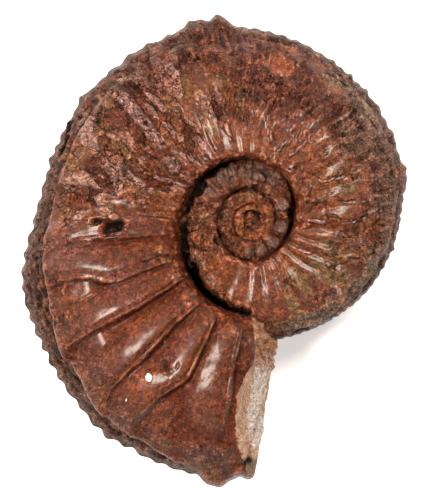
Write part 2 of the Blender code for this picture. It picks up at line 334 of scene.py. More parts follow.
# The damage: skin that flaked off in plates, pits where it rotted, crooked drying cracks, the big
# hole and the chips. Only the front is measured; the back carries a calmer mix of the same.
# Each zone is a list of soft-edged patches: coil angle, share, half widths in degrees and share.
FRONT_ZONES = {
    "flaked": (
        (150, 0.6, 24, 0.32), (124, 0.72, 14, 0.22), (174, 0.76, 9, 0.14), (130, 0.3, 10, 0.22),
        (152, 0.25, 16, 0.2), (108, 0.4, 6, 0.14), (-14, 0.56, 9, 0.12), (-44, 0.74, 7, 0.08),
    ),
    "pitted": (
        (80, 0.64, 25, 0.3), (48, 0.68, 13, 0.2), (103, 0.84, 16, 0.13), (20, 0.82, 18, 0.16),
        (128, 0.82, 14, 0.12), (98, 0.45, 8, 0.2), (-4, 0.82, 12, 0.12), (34, 0.68, 9, 0.14),
    ),
    "scab": (
        (209, 0.74, 5, 0.1), (225.6, 0.78, 4.5, 0.09), (235.5, 0.82, 6, 0.07), (196, 0.77, 4, 0.06),
        (219, 0.81, 5, 0.06), (239.6, 0.45, 2, 0.06), (259, 0.88, 8, 0.1), (247, 0.88, 5, 0.06),
        (186, 0.82, 6, 0.06), (-14, 0.5, 12, 0.16), (-47, 0.72, 10, 0.1), (-60, 0.4, 5, 0.14),
        (172, 0.2, 6, 0.12),
    ),
    "cracked": (
        (34, 0.4, 24, 0.22), (164, 0.42, 17, 0.3), (140, 0.62, 16, 0.24), (4, 0.46, 14, 0.24),
        (186, 0.66, 7, 0.18), (202, 0.2, 7, 0.1), (-22, 0.6, 14, 0.26),
    ),
    "mauve": (
        (129, 0.66, 3, 0.14), (140, 0.68, 6, 0.1), (190, 0.66, 7, 0.2), (180, 0.27, 3, 0.08),
        (148, 0.33, 4, 0.12), (205, 0.35, 6, 0.2), (216, 0.5, 5, 0.2), (227, 0.42, 3, 0.14),
        (240, 0.34, 4, 0.16), (250, 0.58, 3, 0.2), (96, 0.84, 8, 0.1), (155, 0.62, 4, 0.08),
    ),
    "olive": (
        (103, 0.56, 3, 0.08), (96, 0.42, 2.5, 0.12), (112.9, 0.5, 2.5, 0.07), (114, 0.3, 2, 0.1),
        (130.3, 0.27, 2.5, 0.08), (165.5, 0.31, 3, 0.07), (161, 0.6, 3, 0.06), (46, 0.66, 4, 0.08),
        (-34, 0.55, 9, 0.26), (-52, 0.42, 6, 0.22), (-64, 0.6, 4, 0.2), (-18, 0.5, 7, 0.24),
        (-46, 0.72, 3, 0.08), (18, 0.5, 4, 0.1),
    ),
    "orange": (
        (168, 0.78, 9, 0.07), (181.7, 0.8, 4, 0.08), (174, 0.1, 9, 0.1), (206, 0.68, 6, 0.12),
        (228, 0.82, 9, 0.07), (237, 0.62, 5, 0.14), (250, 0.78, 7, 0.12), (248, 0.45, 4, 0.2),
        (222, 0.36, 4, 0.12), (30, 0.26, 14, 0.12), (80, 0.76, 6, 0.09), (-50, 0.2, 20, 0.1),
        (158, 0.84, 5, 0.06), (94, 0.1, 10, 0.08), (50, 0.42, 5, 0.2), (-160, 0.27, 6, 0.07),
        (-122, 0.28, 17, 0.26), (-299, 0.1, 6, 0.06), (-255, 0.2, 5, 0.06),
    ),
    "maroon": (
        (209, 0.74, 4, 0.1), (225.6, 0.78, 4, 0.1), (236, 0.84, 6, 0.08), (239.6, 0.45, 2, 0.06),
        (219, 0.83, 3, 0.07), (258, 0.84, 6, 0.1), (72, 0.6, 26, 0.3), (112, 0.84, 14, 0.1),
        (196, 0.84, 8, 0.06), (142, 0.78, 12, 0.1),
        (-264, 0.27, 7, 0.08), (-274, 0.35, 6, 0.06), (-200, 0.2, 14, 0.14), (-319, 0.16, 6, 0.1),
        (-178, 0.3, 9, 0.16), (-520, 0.25, 7, 0.12), (-487, 0.2, 7, 0.12),
    ),
    "grey": (
        (36, 0.82, 20, 0.12), (38, 0.68, 10, 0.16), (12, 0.84, 15, 0.15), (-22, 0.88, 24, 0.12),
        (-60, 0.88, 22, 0.12), (58, 0.9, 7, 0.08),
    ),
    "tan": (
        (150, 0.55, 8, 0.08), (140, 0.86, 16, 0.07), (158, 0.45, 5, 0.06), (176, 0.5, 4, 0.06),
        (112, 0.24, 2, 0.09), (60, 0.84, 5, 0.06), (258, 0.93, 5, 0.05), (-148, 0.39, 5, 0.07),
        (-179.5, 0.17, 2.5, 0.09), (-186, 0.2, 1.5, 0.1), (-553, 0.27, 11, 0.16), (-575, 0.29, 8, 0.1),
        (-626, 0.31, 13, 0.16), (-299, 0.085, 5, 0.05), (-118, 0.44, 3, 0.12),
    ),
    "scar": ((80, 0.76, 7, 0.09), (181.7, 0.8, 3, 0.06), (237, 0.62, 4, 0.08)),
    "slate": (
        (266.6, 0.222, 5.6, 0.175), (-273, 0.24, 20, 0.2), (-240, 0.28, 16, 0.22), (-216, 0.3, 8, 0.2),
        (-335, 0.15, 11, 0.15), (-375, 0.2, 13, 0.16), (-409, 0.21, 11, 0.16), (-434, 0.27, 10, 0.15),
        (-454, 0.32, 10, 0.15), (-298, 0.28, 14, 0.12),
    ),
    "soot": (
        (-211, 0.43, 8, 0.1), (-193, 0.47, 12, 0.07), (-147, 0.06, 9, 0.04), (-139, 0.48, 5, 0.04),
        (-228, 0.42, 7, 0.05), (-168, 0.46, 13, 0.06), (-351, 0.29, 7, 0.06), (-392, 0.36, 6, 0.05),
    ),
}
BACK_ZONES = {
    "flaked": ((60, 0.6, 30, 0.3), (-40, 0.6, 24, 0.3)),
    "pitted": ((150, 0.6, 26, 0.3), (10, 0.7, 20, 0.2)),
    "cracked": ((100, 0.5, 40, 0.3), (200, 0.4, 20, 0.3)),
    "mauve": ((40, 0.5, 18, 0.3), (215, 0.6, 12, 0.2)),
    "olive": ((85, 0.4, 16, 0.2), (-20, 0.4, 18, 0.2)),
    "orange": ((170, 0.3, 24, 0.2), (240, 0.7, 16, 0.2), (-60, 0.2, 24, 0.2)),
    "maroon": ((140, 0.7, 30, 0.2), (0, 0.8, 30, 0.15)),
    "grey": ((60, 0.9, 60, 0.1), (-40, 0.9, 40, 0.1)),
    "tan": ((60, 0.75, 12, 0.12), (250, 0.9, 12, 0.1)),
    "scar": ((70, 0.5, 6, 0.1),),
    "slate": ((-300, 0.2, 30, 0.2), (120, 0.3, 8, 0.1)),
    "scab": ((220, 0.7, 8, 0.1), (20, 0.5, 8, 0.1)),
    "soot": ((-200, 0.45, 8, 0.05),),
}
# Hollows as coil angle, share, half length along the coil and across it in mm, and depth in mm.
HOLLOWS = (
    (183.6, 0.44, 1.1, 1.7, 2.2), (181.5, 0.54, 0.6, 1.1, 1.3), (182.4, 0.39, 0.6, 0.9, 1.1),
    (201.2, 0.714, 0.55, 0.5, 0.7), (171.2, 0.86, 1.2, 1, 0.8), (239.3, 0.45, 1.6, 0.9, 0.8),
    (237.2, 0.38, 0.8, 0.5, 0.35), (208.5, 0.8, 1.2, 0.8, 0.5), (153.5, 0.985, 2, 0.55, 1.2),
    (158.5, 0.955, 2.2, 0.45, 1.2), (80.5, 0.77, 3, 1.6, 0.7), (60.5, 0.33, 0.5, 1.2, 0.6),
    (243.5, 0.93, 1.1, 0.7, 0.7), (268.8, 0.9, 0.8, 1.1, 1.6), (147.5, 0.825, 0.6, 0.7, 0.9),
    (130.9, 0.728, 0.4, 0.5, 0.8), (84, 0.6, 0.5, 0.5, 0.6), (206, 0.86, 0.9, 0.5, 0.7),
)
# White chips of lime in the same form, then swellings.
CHALK_SPOTS = ((236.9, 0.557, 0.72, 0.7, 0.15), (235.2, 0.733, 0.18, 0.18, 0.05))
SWELLINGS = (
    (267.2, 0.222, 2.1, 4.4, 1.4), (12, 0.1, 1, 0.9, 0.8), (28, 0.1, 1.3, 0.9, 0.8),
    (19, 0.13, 0.8, 1.2, 0.5), (-6, 0.12, 0.8, 1, 0.6), (137, 0.81, 1.5, 1.3, 0.9),
    (130.5, 0.824, 1.2, 1.2, 0.8), (113.2, 0.851, 1.2, 1.2, 0.8), (112.9, 0.5, 1.2, 1.5, 0.7),
    (104.5, 0.55, 1.2, 1.4, 0.5), (267.5, 0.95, 1.8, 1.6, 0.6), (-275, 0.21, 2.4, 1, 0.7),
    (-335, 0.16, 1.3, 1.5, 1.2), (-352, 0.17, 0.7, 1.3, 0.8), (-375, 0.19, 1.5, 1.5, 1.2),
    (-409, 0.21, 1.3, 1.4, 1.1), (-433, 0.27, 1.1, 1.3, 1.1), (-455, 0.3, 1.1, 1.3, 1),
    (-243, 0.3, 1.8, 1.2, 0.6), (-162, 0.28, 1.9, 0.8, 0.6), (-299, 0.1, 0.9, 0.8, 0.5),
    (-477, 0.29, 0.9, 1, 0.7), (-487, 0.15, 0.8, 0.7, 0.5), (-518, 0.26, 1.1, 1, 0.7),
    (-553, 0.26, 1.2, 0.9, 0.8), (-577, 0.29, 0.8, 0.7, 0.5), (-621, 0.33, 1.6, 0.9, 0.6),
    (-648, 0.37, 0.9, 0.8, 0.5), (-590, 0.45, 0.8, 0.7, 0.5),
)
# What is left of the ribs in the broken skin: half width and height in mm, then (coil angle, share).
RODS = (
    (1.15, 0.8, ((146, 0.18), (141.8, 0.336), (139.3, 0.47), (137.7, 0.62), (136.4, 0.765))),
    (0.6, 0.7, ((129.1, 0.545), (129.3, 0.657), (129.1, 0.763))),
    (0.2, 0.7, ((136, 0.126), (133.5, 0.318), (132.5, 0.459))),
    (0.14, 0.5, ((134.4, 0.13), (131.9, 0.31), (131.1, 0.44))),
    (0.55, 0.5, ((123.1, 0.062), (123.7, 0.244))),
    (0.18, 0.5, ((117.4, 0.07), (116.6, 0.386))),
    (0.5, 0.5, ((106.3, 0.1), (105.7, 0.243))),
    (0.26, 0.6, ((170.4, 0.638), (170.5, 0.833))),
    (0.28, 0.6, ((164.1, 0.583), (162.1, 0.802))),
    (0.4, 0.5, ((148.9, 0.615), (149.2, 0.709))),
    (0.85, 0.5, ((153.3, 0.304), (150.5, 0.426))),
    (0.8, 0.5, ((179.8, 0.41), (176.4, 0.546))),
    (0.55, 0.5, ((163.7, 0.303), (157.5, 0.523))),
    (0.85, 0.5, ((117.6, 0.697), (119, 0.847))),
    (0.35, 0.5, ((123.2, 0.359), (122.5, 0.52))),
    (0.35, 0.5, ((153.6, 0.059), (156, 0.277))),
    (0.35, 0.5, ((152.3, 0.717), (152.4, 0.827))),
    (0.3, 0.6, ((73, 0.12), (84, 0.36))),
    (0.28, 0.7, ((58.9, 0.16), (53.6, 0.45), (47.8, 0.76))),
    (0.25, 0.5, ((68.5, 0.14), (63.5, 0.3))),
    (0.4, 0.5, ((26, 0.66), (27.6, 0.84))),
    (0.35, 0.4, ((3, 0.68), (7.2, 0.84))),
    (0.3, 0.5, ((0, 0.1), (-3, 0.46))),
    (0.25, 0.5, ((-34, 0.1), (-29, 0.34), (-31, 0.5))),
)
# Open cracks: half width in mm, then (coil angle, share) along them.
CRACKS = (
    (0.2, ((54.6, 0.08), (38, 0.2), (29.4, 0.28), (25.8, 0.46), (21.6, 0.55))),
    (0.18, ((17.4, 0.09), (13.1, 0.25), (1.5, 0.3), (0, 0.49))),
    (0.16, ((14.8, 0.37), (9, 0.53))),
    (0.16, ((0, 0.52), (-2, 0.6), (2, 0.64), (-6, 0.68))),
    (0.16, ((26.8, 0.6), (21, 0.62))),
    (0.24, ((137, 0.6), (139.1, 0.51), (145, 0.45), (146.6, 0.38), (147.4, 0.32))),
    (0.2, ((122.2, 0.59), (124.5, 0.38))),
    (0.24, ((155.2, 0.57), (159, 0.51), (160.5, 0.4))),
    (0.18, ((162.8, 0.81), (170.1, 0.77), (174, 0.72))),
    (0.2, ((169, 0.64), (173.4, 0.66), (176, 0.54))),
    (0.26, ((177.5, 0.79), (182.6, 0.74))),
    (0.2, ((178.9, 0.26), (179.3, 0.16), (180.7, 0.04))),
    (0.2, ((130.4, 0.9), (133, 0.81), (129.5, 0.78))),
    (0.2, ((198.7, 0.26), (202, 0.22), (201.5, 0.15), (206.6, 0.03))),
    (0.18, ((143, 0.86), (147, 0.8))),
    (0.16, ((166, 0.42), (163.5, 0.5), (167, 0.56))),
    (0.18, ((100, 0.8), (112, 0.76), (116, 0.82))),
    (0.18, ((-18, 0.7), (-26, 0.62), (-30, 0.55))),
    (0.14, ((-147, 0.05), (-150, 0.12), (-146, 0.2), (-151, 0.3))),
    (0.1, ((-170, 0.18), (-169, 0.34), (-163, 0.35), (-152, 0.33))),
    (0.12, ((-192, 0.12), (-200, 0.24), (-196, 0.35))),
    (0.1, ((-238, 0.1), (-240, 0.2), (-252, 0.24), (-254, 0.36))),
    (0.12, ((-286, 0.1), (-290, 0.22), (-283, 0.34))),
    (0.14, ((-345, 0.05), (-344, 0.25))), (0.14, ((-359, 0.05), (-361, 0.25))),
    (0.12, ((-392, 0.05), (-393, 0.35))), (0.1, ((-421, 0.08), (-423, 0.4))),
    (0.1, ((-444, 0.08), (-446, 0.4))), (0.1, ((-500, 0.1), (-503, 0.35))),
)
# How far the wear spares the patches of sound slate and scar.
SPARED = 0.85
# How much of each patch counts as worn, then the whorls in the umbilicus and how calm their wear is.
WORN_PATCHES = {"pitted": 1.0, "flaked": 0.5, "grey": 0.8, "scab": 0.45}
INNER_WEAR, INNER_CALM = 0.6, 0.45
# Noise that pushes the edges of patches about, by the size of its lumps in mm.
WANDER_SIZE, TORN_SIZE, SLOW_SIZE = 3.0, 1.3, 5.0
# Coil angles between which the smallest whorls get rougher, and the roughness in mm.
SMALLEST_START, SMALLEST_END, SMALLEST_ROUGHNESS = -560.0, -640.0, 0.3
BLACK_PATCH_DEPTH, BLACK_PATCH_GRAIN = 0.7, 0.8
# The bright ring on the smallest whorls and the dark core in it, as the distances from the axis in
# mm between which each starts and ends.
RING_START, RING_END = (2.1, 2.5), (4.3, 3.8)
CORE_START, CORE_END = (1.2, 1.6), (2.2, 1.9)
# Size of the net of drying cracks in mm, and of the stretches where it is open.
CRACK_NET, CRACK_STRETCH = 6.5, 4.0
CRACK_WANDER = 0.7
CRACK_SHARE = 0.6
PLATE_LENGTH, PLATE_WIDTH = 6.0, 2.2
PLATE_STEP = 0.6
PLATE_TILT = 0.35
CRACK_DEPTH = 0.22
CRACK_WIDTH = 0.03
PIT_SPACING = 1.7
PIT_DEPTH = 0.55
SKIN_GRAIN, SKIN_ROUGHNESS = 2.4, 0.09
CRUMB_SIZE, CRUMB_HEIGHT = 1.5, 0.5
WORN_GRAIN, WORN_ROUGHNESS = 2.8, 0.38
WORN_STREAK, WORN_STREAK_HEIGHT = (1.3, 4.6), 0.75
KNOT_SIZE, KNOT_HEIGHT = 1.9, 0.8
BAND_RIDGE = (3.6, 1.1)
BAND_RIDGE_HEIGHT = 0.45


def at_each(measure, places):
    """Call a noise function at each place of an array and keep the array's shape."""
    values = [measure(Vector(place)) for place in places.reshape(-1, 3)]
    return np.array(values).reshape(places.shape[:-1])


def rough(places, size, layers=4):
    """Fractal noise of about -1 to 1, with its largest lumps the given size in mm.

    Places moved by some ten mm, here and in crumbs, give another pattern of the same noise.
    """
    return at_each(lambda place: noise.fractal(place, 0.75, 2.1, layers), places / size)


def crumbs(places, size):
    """Height from about -0.5 to 0.5 of a surface broken into angular crumbs."""
    return 0.5 - at_each(lambda place: noise.voronoi(place)[0][0], places / size)


def zone(patches, angle, share, wander):
    """Mask of 0 to 1 over a list of patches, with edges pushed about by some noise."""
    mask = np.zeros_like(angle)
    for place, level, half_turn, half_share in patches:
        reach = np.hypot((angle - place) / half_turn, (share - level) / half_share)
        mask = np.maximum(mask, smooth_step(1.25, 0.55, reach + 0.3 * wander))
    return mask


def bump_at(angle, share, spot, wander, growth=1.0):
    """A rounded bump of height 1 at a spot, in mm along and across the coil."""
    place, level, along, across = spot[:4]
    run = np.radians(angle - place) * coil_radius(angle, share) / along
    rise = (share - level) * whorl_height(angle) / across
    return smooth_step(1.25, 0.45, np.hypot(run, rise) / growth * (1.0 + 0.5 * wander))


def drawn_out(along, across, size):
    """Places for noise whose lumps have one size along the coil and another across it."""
    return np.stack((along / size[0], across / size[1], 0.0 * along), axis=-1)


def plates(along, across):
    """Height in mm of the broken plates of skin, each stepped and tilted on its own."""
    height = np.zeros_like(along)
    for index in np.ndindex(along.shape):
        place = Vector((along[index] / PLATE_WIDTH, across[index] / PLATE_LENGTH, 0.0))
        centre = noise.voronoi(place)[1][0]
        tilt = PLATE_TILT * PLATE_WIDTH * noise.noise(centre * 5.1) * (place.x - centre.x)
        height[index] = PLATE_STEP * (0.7 * noise.noise(centre * 3.7) - 0.1) + tilt
    return height


def distance_to_line(place_x, place_y, line):
    """Distance in mm from places on the flattened coil to a line of (coil angle, share) points."""
    line_x, line_y = flat_place(*np.array(line, dtype=float).T)
    nearest = np.full_like(place_x, TURN)
    for start_x, start_y, end_x, end_y in zip(line_x, line_y, line_x[1:], line_y[1:]):
        step_x, step_y = end_x - start_x, end_y - start_y
        gap_x, gap_y = place_x - start_x, place_y - start_y
        run = np.clip((gap_x * step_x + gap_y * step_y) / (step_x ** 2 + step_y ** 2), 0.0, 1.0)
        nearest = np.minimum(nearest, np.hypot(gap_x - run * step_x, gap_y - run * step_y))
    return nearest


def raise_mask(zones, name, amount):
    """Bring a mask up to an amount wherever it is lower."""
    zones[name] = np.maximum(zones[name], amount)


def damage(angle, share, places, side):
    """Height that damage adds to the skin in mm, and the masks that the material reads."""
    front = side > 0
    on_last = angle >= VENTER_START
    wander = rough(places, WANDER_SIZE)
    torn = 0.8 * wander + 0.9 * rough(places - 80.0, TORN_SIZE, 3)
    slow = rough(places + 90.0, SLOW_SIZE, 2)
    zones = {}
    for name, patches in (FRONT_ZONES if front else BACK_ZONES).items():
        zones[name] = zone(patches, angle, share, 1.8 * torn if name == "soot" else wander)
    along, across = coil_run(straightened(angle, share)), coil_radius(angle, share)
    zones["along"], zones["across"] = along, across

    # Where it is worn: the whorls in the umbilicus, the keel band and the patches.
    inside = 0.55 * smooth_step(SMOOTH_END - 22.0, SMOOTH_END - 38.0, angle)
    inside += 0.45 * smooth_step(SMOOTH_END + 4.0, SMOOTH_END - 4.0, angle)
    band = smooth_step(0.0, LEDGE_WIDTH, share - curve_through(LEDGE, angle)) * (1.0 - inside)
    worn = band + INNER_WEAR * inside + sum(part * zones[name] for name, part in WORN_PATCHES.items())
    worn = np.clip(worn, 0.0, 1.0)
    worn *= 1.0 - SPARED * np.maximum(zones["slate"], zones["scar"])
    zones["band"], zones["inner"] = band, inside
    zones.update({name: np.zeros_like(angle) for name in ("rock", "chalk", "hole")})
    zones.update({name: np.full_like(angle, FAR) for name in ("rod", "crack")})
    scale = 1.0 - INNER_CALM * inside

    # The fine grain of sound skin, and the coarser relief of each kind of wear.
    relief = SKIN_ROUGHNESS * rough(places, SKIN_GRAIN, 3)
    streaky = rough(drawn_out(along, across, WORN_STREAK), 1.0, 3)
    relief += WORN_STREAK_HEIGHT * zones["pitted"] * (1.0 - zones["scar"]) * streaky
    relief += WORN_ROUGHNESS * worn * scale * rough(places + 40.0, WORN_GRAIN)
    crumbled = CRUMB_HEIGHT * (1.0 - 0.5 * zones["pitted"] * (1.0 - band))
    relief += crumbled * worn * scale * crumbs(places, CRUMB_SIZE)
    relief += KNOT_HEIGHT * band * crumbs(places - 40.0, KNOT_SIZE)
    ridged = at_each(noise.noise, drawn_out(along, across, BAND_RIDGE))
    relief += BAND_RIDGE_HEIGHT * np.maximum(band, zones["grey"]) * (1.0 - 2.0 * np.abs(ridged))
    smallest = smooth_step(SMALLEST_START, SMALLEST_END, angle)
    relief += SMALLEST_ROUGHNESS * smallest * rough(places + 5.0, 1.1, 3)
    relief -= BLACK_PATCH_DEPTH * zones["soot"] * (1.0 + 1.5 * crumbs(places + 9.0, BLACK_PATCH_GRAIN))
    relief += zones["flaked"] * plates(along + 0.5 * wander, across + 0.7 * wander)

    # Drying cracks, the open cracks, and the rods of rib left where the skin is gone.
    line = np.abs(rough(places + 11.0, CRACK_NET, 3))
    opened = smooth_step(-0.1, 0.1, rough(places - 60.0, CRACK_STRETCH, 2))
    opened *= smooth_step(0.3, 0.6, zones["cracked"])
    open_crack = opened * smooth_step(CRACK_WIDTH, 0.0, line)
    if front:
        wide_x, wide_y = flat_place(angle, share)
        shift_x = wide_x + CRACK_WANDER * rough(places + 17.0, 1.6, 3)
        shift_y = wide_y + CRACK_WANDER * rough(places - 17.0, 1.6, 3)
        for half_width, line in CRACKS:
            gap = distance_to_line(shift_x, shift_y, line) - CRACK_SHARE * half_width
            zones["crack"] = np.minimum(zones["crack"], gap)
        for half_width, height, line in RODS:
            gap = distance_to_line(wide_x + 0.25 * wander, wide_y - 0.25 * wander, line)
            gap += 1.2 * smooth_step(0.15, 0.35, wander - slow) - half_width
            zones["rod"] = np.where(on_last, np.minimum(zones["rod"], gap), FAR)
            relief += 0.8 * height * smooth_step(0.25, -0.3, gap) * on_last
    open_crack = np.maximum(open_crack, smooth_step(0.25, 0.0, zones["crack"]))
    relief -= CRACK_DEPTH * open_crack

    # Pits where the skin rotted.
    pit = 0.5 - crumbs(places + 0.25 * wander[..., None], PIT_SPACING)
    pit = smooth_step(0.3 + 0.12 * slow, 0.08, pit)
    pit *= smooth_step(0.3, 0.7, zones["pitted"] - zones["scar"]) * smooth_step(-0.1, 0.25, slow)
    relief -= PIT_DEPTH * pit
    # The pits are painted near black as shade in them; the open cracks get dark lines.
    raise_mask(zones, "soot", np.maximum(0.8 * pit, 0.5 * open_crack))

    # The bright ring on the smallest whorls and the dark core in it.
    from_axis = np.hypot(places[..., 0], places[..., 1])
    ring = smooth_step(*RING_START, from_axis) * smooth_step(*RING_END, from_axis + 0.3 * wander)
    core = smooth_step(*CORE_START, from_axis + 0.5 * wander) * smooth_step(*CORE_END, from_axis + 0.3 * slow)
    raise_mask(zones, "soot", core * smooth_step(-0.2, 0.2, wander))
    raise_mask(zones, "orange", ring)
    raise_mask(zones, "scar", 0.35 * ring)

    # The hole and the smaller hollows, then the swellings and the white chips.
    if front:
        for spot in HOLLOWS:
            depth, hole = spot[4], bump_at(angle, share, spot, torn)
            relief -= depth * hole
            if depth > 1.0:
                raise_mask(zones, "hole", bump_at(angle, share, spot, torn, 1.5))
            # Deep hollows are painted near black as shade.
            raise_mask(zones, "soot", hole * smooth_step(0.5, 1.2, depth))
        for spot in SWELLINGS:
            relief += spot[4] * bump_at(angle, share, spot, 0.5 * wander)
        for spot in CHALK_SPOTS:
            chip = bump_at(angle, share, spot, wander)
            raise_mask(zones, "chalk", chip)
            relief += spot[4] * chip
    return relief, zones


# The skin of the coil: the bare surface with its ribs, ledge, keel and damage put on, one sheet
# for each whorl and side. The last whorl is sheared to end on the broken edge.
BREAK_FRONT = (
    (0, 269.5), (0.14, 271.2), (0.26, 270.8), (0.38, 266.6), (0.57, 265.2), (0.8, 266.8),
    (1, 270.2),
)
BREAK_BACK = ((0, 269.5), (0.3, 272.5), (0.6, 272.5), (1, 270.6))
SEAM_WEAR = 0.5
RIBS_LOST_ON_BAND = 0.85
BREAK_JAGGED, BREAK_TEETH = 0.45, 14.0
BREAK_SHEAR = 30.0
# How uneven the crevice is, and the crumbs in it as a share of its depth and by their size in mm.
CREVICE_UNEVEN, CREVICE_CRUMBS, CREVICE_CRUMB_SIZE = 0.5, 0.8, 1.3
VENTER_SKEW = 12.0
SPACING_GROWTH = 2.0
ROW_GUIDE_ANGLE = 225.0


def coil_angles(end, columns):
    """Angles of a whorl's columns, closer together where the whorl is larger."""
    share = np.arange(columns + 1) / columns
    return end - TURN + TURN * np.log(1.0 + (SPACING_GROWTH - 1.0) * share) / np.log(SPACING_GROWTH)


def row_levels(start, end, rows):
    """Levels from 0 to 1 that space rows evenly along the section between two shares."""
    fine = np.linspace(start, end, 801)
    section = bare_surface(np.full_like(fine, ROW_GUIDE_ANGLE), fine, 1)
    run = np.concatenate(([0.0], np.cumsum(np.linalg.norm(np.diff(section, axis=0), axis=1))))
    even = np.interp(np.linspace(0.0, run[-1], rows + 1), run, fine)
    return (even - start) / (end - start)


def skin(angle, share, side):
    """Points of the finished skin in mm, and the masks that its material reads."""
    edge = curve_through(BREAK_FRONT if side > 0 else BREAK_BACK, share)
    jagged = np.stack((share * BREAK_TEETH, share * 0.0, share * 0.0 + side), axis=-1)
    edge = edge + BREAK_JAGGED * rough(jagged, 1.0) * np.sin(np.pi * share) ** 0.5
    # Columns near the break bend onto its edge, and those where the whorl starts lean away from it.
    pull = smooth_step(APERTURE - BREAK_SHEAR, APERTURE, angle)
    level = np.clip((share - cover_share(VENTER_START)) / (1.0 - cover_share(VENTER_START)), 0.0, 1.0)
    started = smooth_step(VENTER_START, VENTER_START + TURN / 6, angle)
    skew = np.where(angle >= VENTER_START, VENTER_SKEW * level * (1.0 - started), 0.0)
    angle = angle + pull * (edge - APERTURE) + skew

    bare = bare_surface(angle, share, side)
    relief, zones = damage(angle, share, bare, side)
    height, gap = ribs(angle, share)
    height = height * (1.0 - RIBS_LOST_ON_BAND * zones["band"])
    zones["edge"] = np.where(angle < VENTER_START, FAR, gap + 0.3 * rough(bare + 65.0, 2.2, 3))
    # The crevice along the next whorl's seam, eaten into this whorl.
    before_seam = (cover_share(angle) - share) * whorl_height(angle)
    size = np.sqrt(whorl_size(angle + TURN))
    deep = curve_through(CREVICE, angle + TURN) * (1.0 + CREVICE_UNEVEN * rough(bare + 70.0, 2.5, 2)) * size
    width = curve_through(CREVICE_SPAN, angle + TURN) * (1.0 + CREVICE_UNEVEN * rough(bare, 2.0, 3)) * size
    fill = (angle < VENTER_START) * np.exp(-(before_seam / width) ** 2)

    # The relief stands out from the bare surface, and fades at the seam and at the keel.
    crumple = 1.0 - 0.5 * zones["flaked"] - 0.5 * zones["pitted"]
    lift = np.sqrt(np.clip((1.0 - share) / 0.1, 0.0, 1.0)) * smooth_step(0.0, 0.03, share) * (1.0 - fill)
    rise = (RIB_HEIGHT * whorl_size(angle) * height * crumple + ledge_relief(angle, share) + relief) * lift
    points = bare + rise[..., None] * surface_normal(angle, share, side)
    points[..., 2] -= side * deep * fill * (1.0 + CREVICE_CRUMBS * crumbs(bare + 33.0, CREVICE_CRUMB_SIZE))

    turned = np.radians(angle)
    lip = smooth_step(0.0, 0.012, share) * smooth_step(0.13, 0.05, share)
    outward = keel_growth(angle) * smooth_step(0.9, 1.0, share) + SEAM_WEAR * lip * rough(bare - 25.0, 1.8, 3)
    points[..., 0] += outward * np.cos(turned)
    points[..., 1] += outward * np.sin(turned)

    # The masks that need the finished ribs: their crests, the living chamber and the crevice, painted dark as
    # shade.
    older, reach = on_older_part(angle), curve_through(YOUNG_REACH, angle)
    crest = 0.6 * smooth_step(reach - 0.35, reach - 0.05, share)
    crest = np.clip(height / curve_through(YOUNG_RIB_STRENGTH, angle) + crest, 0.0, 1.0)
    zones["crest"] = height * (1.0 - older) + crest * older
    zones["living"] = smooth_step(150.0, 190.0, angle)
    # Painted shade: a dark ring along the seam where the crevice is wide, and the crevice floor near black in
    # broken patches.
    near_seam = smooth_step(0.03, 0.0, share + 0.02 * rough(bare + 55.0, 1.6, 3))
    near_seam *= smooth_step(0.5, 1.2, curve_through(CREVICE_SPAN, angle))
    deep_soot = smooth_step(0.25, 0.7, fill + 0.5 * rough(bare - 30.0, 1.2, 3)) * (fill > 0.05)
    broken = smooth_step(-0.25, 0.2, rough(bare + 15.0, 3.0, 2))
    deep_soot *= broken + (1.0 - broken) * smooth_step(-420.0, -330.0, angle)
    raise_mask(zones, "soot", np.maximum(0.7 * near_seam, deep_soot))
    return points, zones


# Making the piece: each whorl's sheet is a grid moved onto the skin, and the broken face is lofted
# between the last section and the whorl before. All are joined and merged into one closed body,
# laid on its back flank as the CAD solid is, with the ribs it rests on worn flat.
FRONT_COLUMNS, FRONT_INNER_ROWS, FRONT_OUTER_ROWS = 688, 56, 28
BACK_COLUMNS, BACK_INNER_ROWS, BACK_OUTER_ROWS = 344, 32, 12
INNER_WHORLS = 3
RIM_SHARE = 0.97
RIM_ROWS = 2
CENTRE_RINGS = 4
BREAK_STEPS = 44
BREAK_GRAIN, BREAK_ROUGHNESS = 3.2, 0.5
# Crumbling lumps where the break meets the whorl before, as place and reach across the coil.
LUMPS_PLACE, LUMPS_REACH, LUMP_SIZE, LUMP_HEIGHT = (4.4, -22.5), 8.0, 1.7, 2.4
# Where the break is nearly white, then the grey lump and the dark spot at its foot.
PALE_STREAK = ((2.9, -26.5), (1.7, -29.5), (1.1, -33.3), (0.3, -36.3), (0.6, -38.6), (1, -41.8))
PALE_REACH = 1.7
FOOT_PLACE, FOOT_REACH = (0.2, -47.5), 2.6
DARK_PLACE, DARK_REACH = (-0.6, -45.4), 1.0
WELD = 0.004 * MM
TILT_X, TILT_Y = -4.7, 1.4
AXIS_PLACE = (7, 5.45, 10.96)


def nearness(points, place, reach, full=0.5, none=1.0):
    """1 near a place on the flattened coil and 0 further off, with the shares of a reach for both."""
    gap = np.hypot(points[..., 0] - place[0], points[..., 1] - place[1])
    return smooth_step(none, full, gap / reach)


def halved(line):
    """Move every second point of a line onto the one before it, so half as many remain."""
    line[1:-1:2] = line[0:-2:2]


def centre_cap(sheet, side):
    """Rough core that closes the hole inside the innermost whorl."""
    loop = np.concatenate((sheet[:, 0], sheet[0, ::-1]))
    middle = loop.mean(axis=0) + np.array((0.0, 0.0, 0.25 * side))
    rings = np.linspace(0.0, 1.0, CENTRE_RINGS + 1)[None, :, None]
    points = loop[:, None] + (middle - loop[:, None]) * rings
    points[:, 1:-1, 2] += side * 0.12 * rough(points[:, 1:-1], 0.5)
    return points


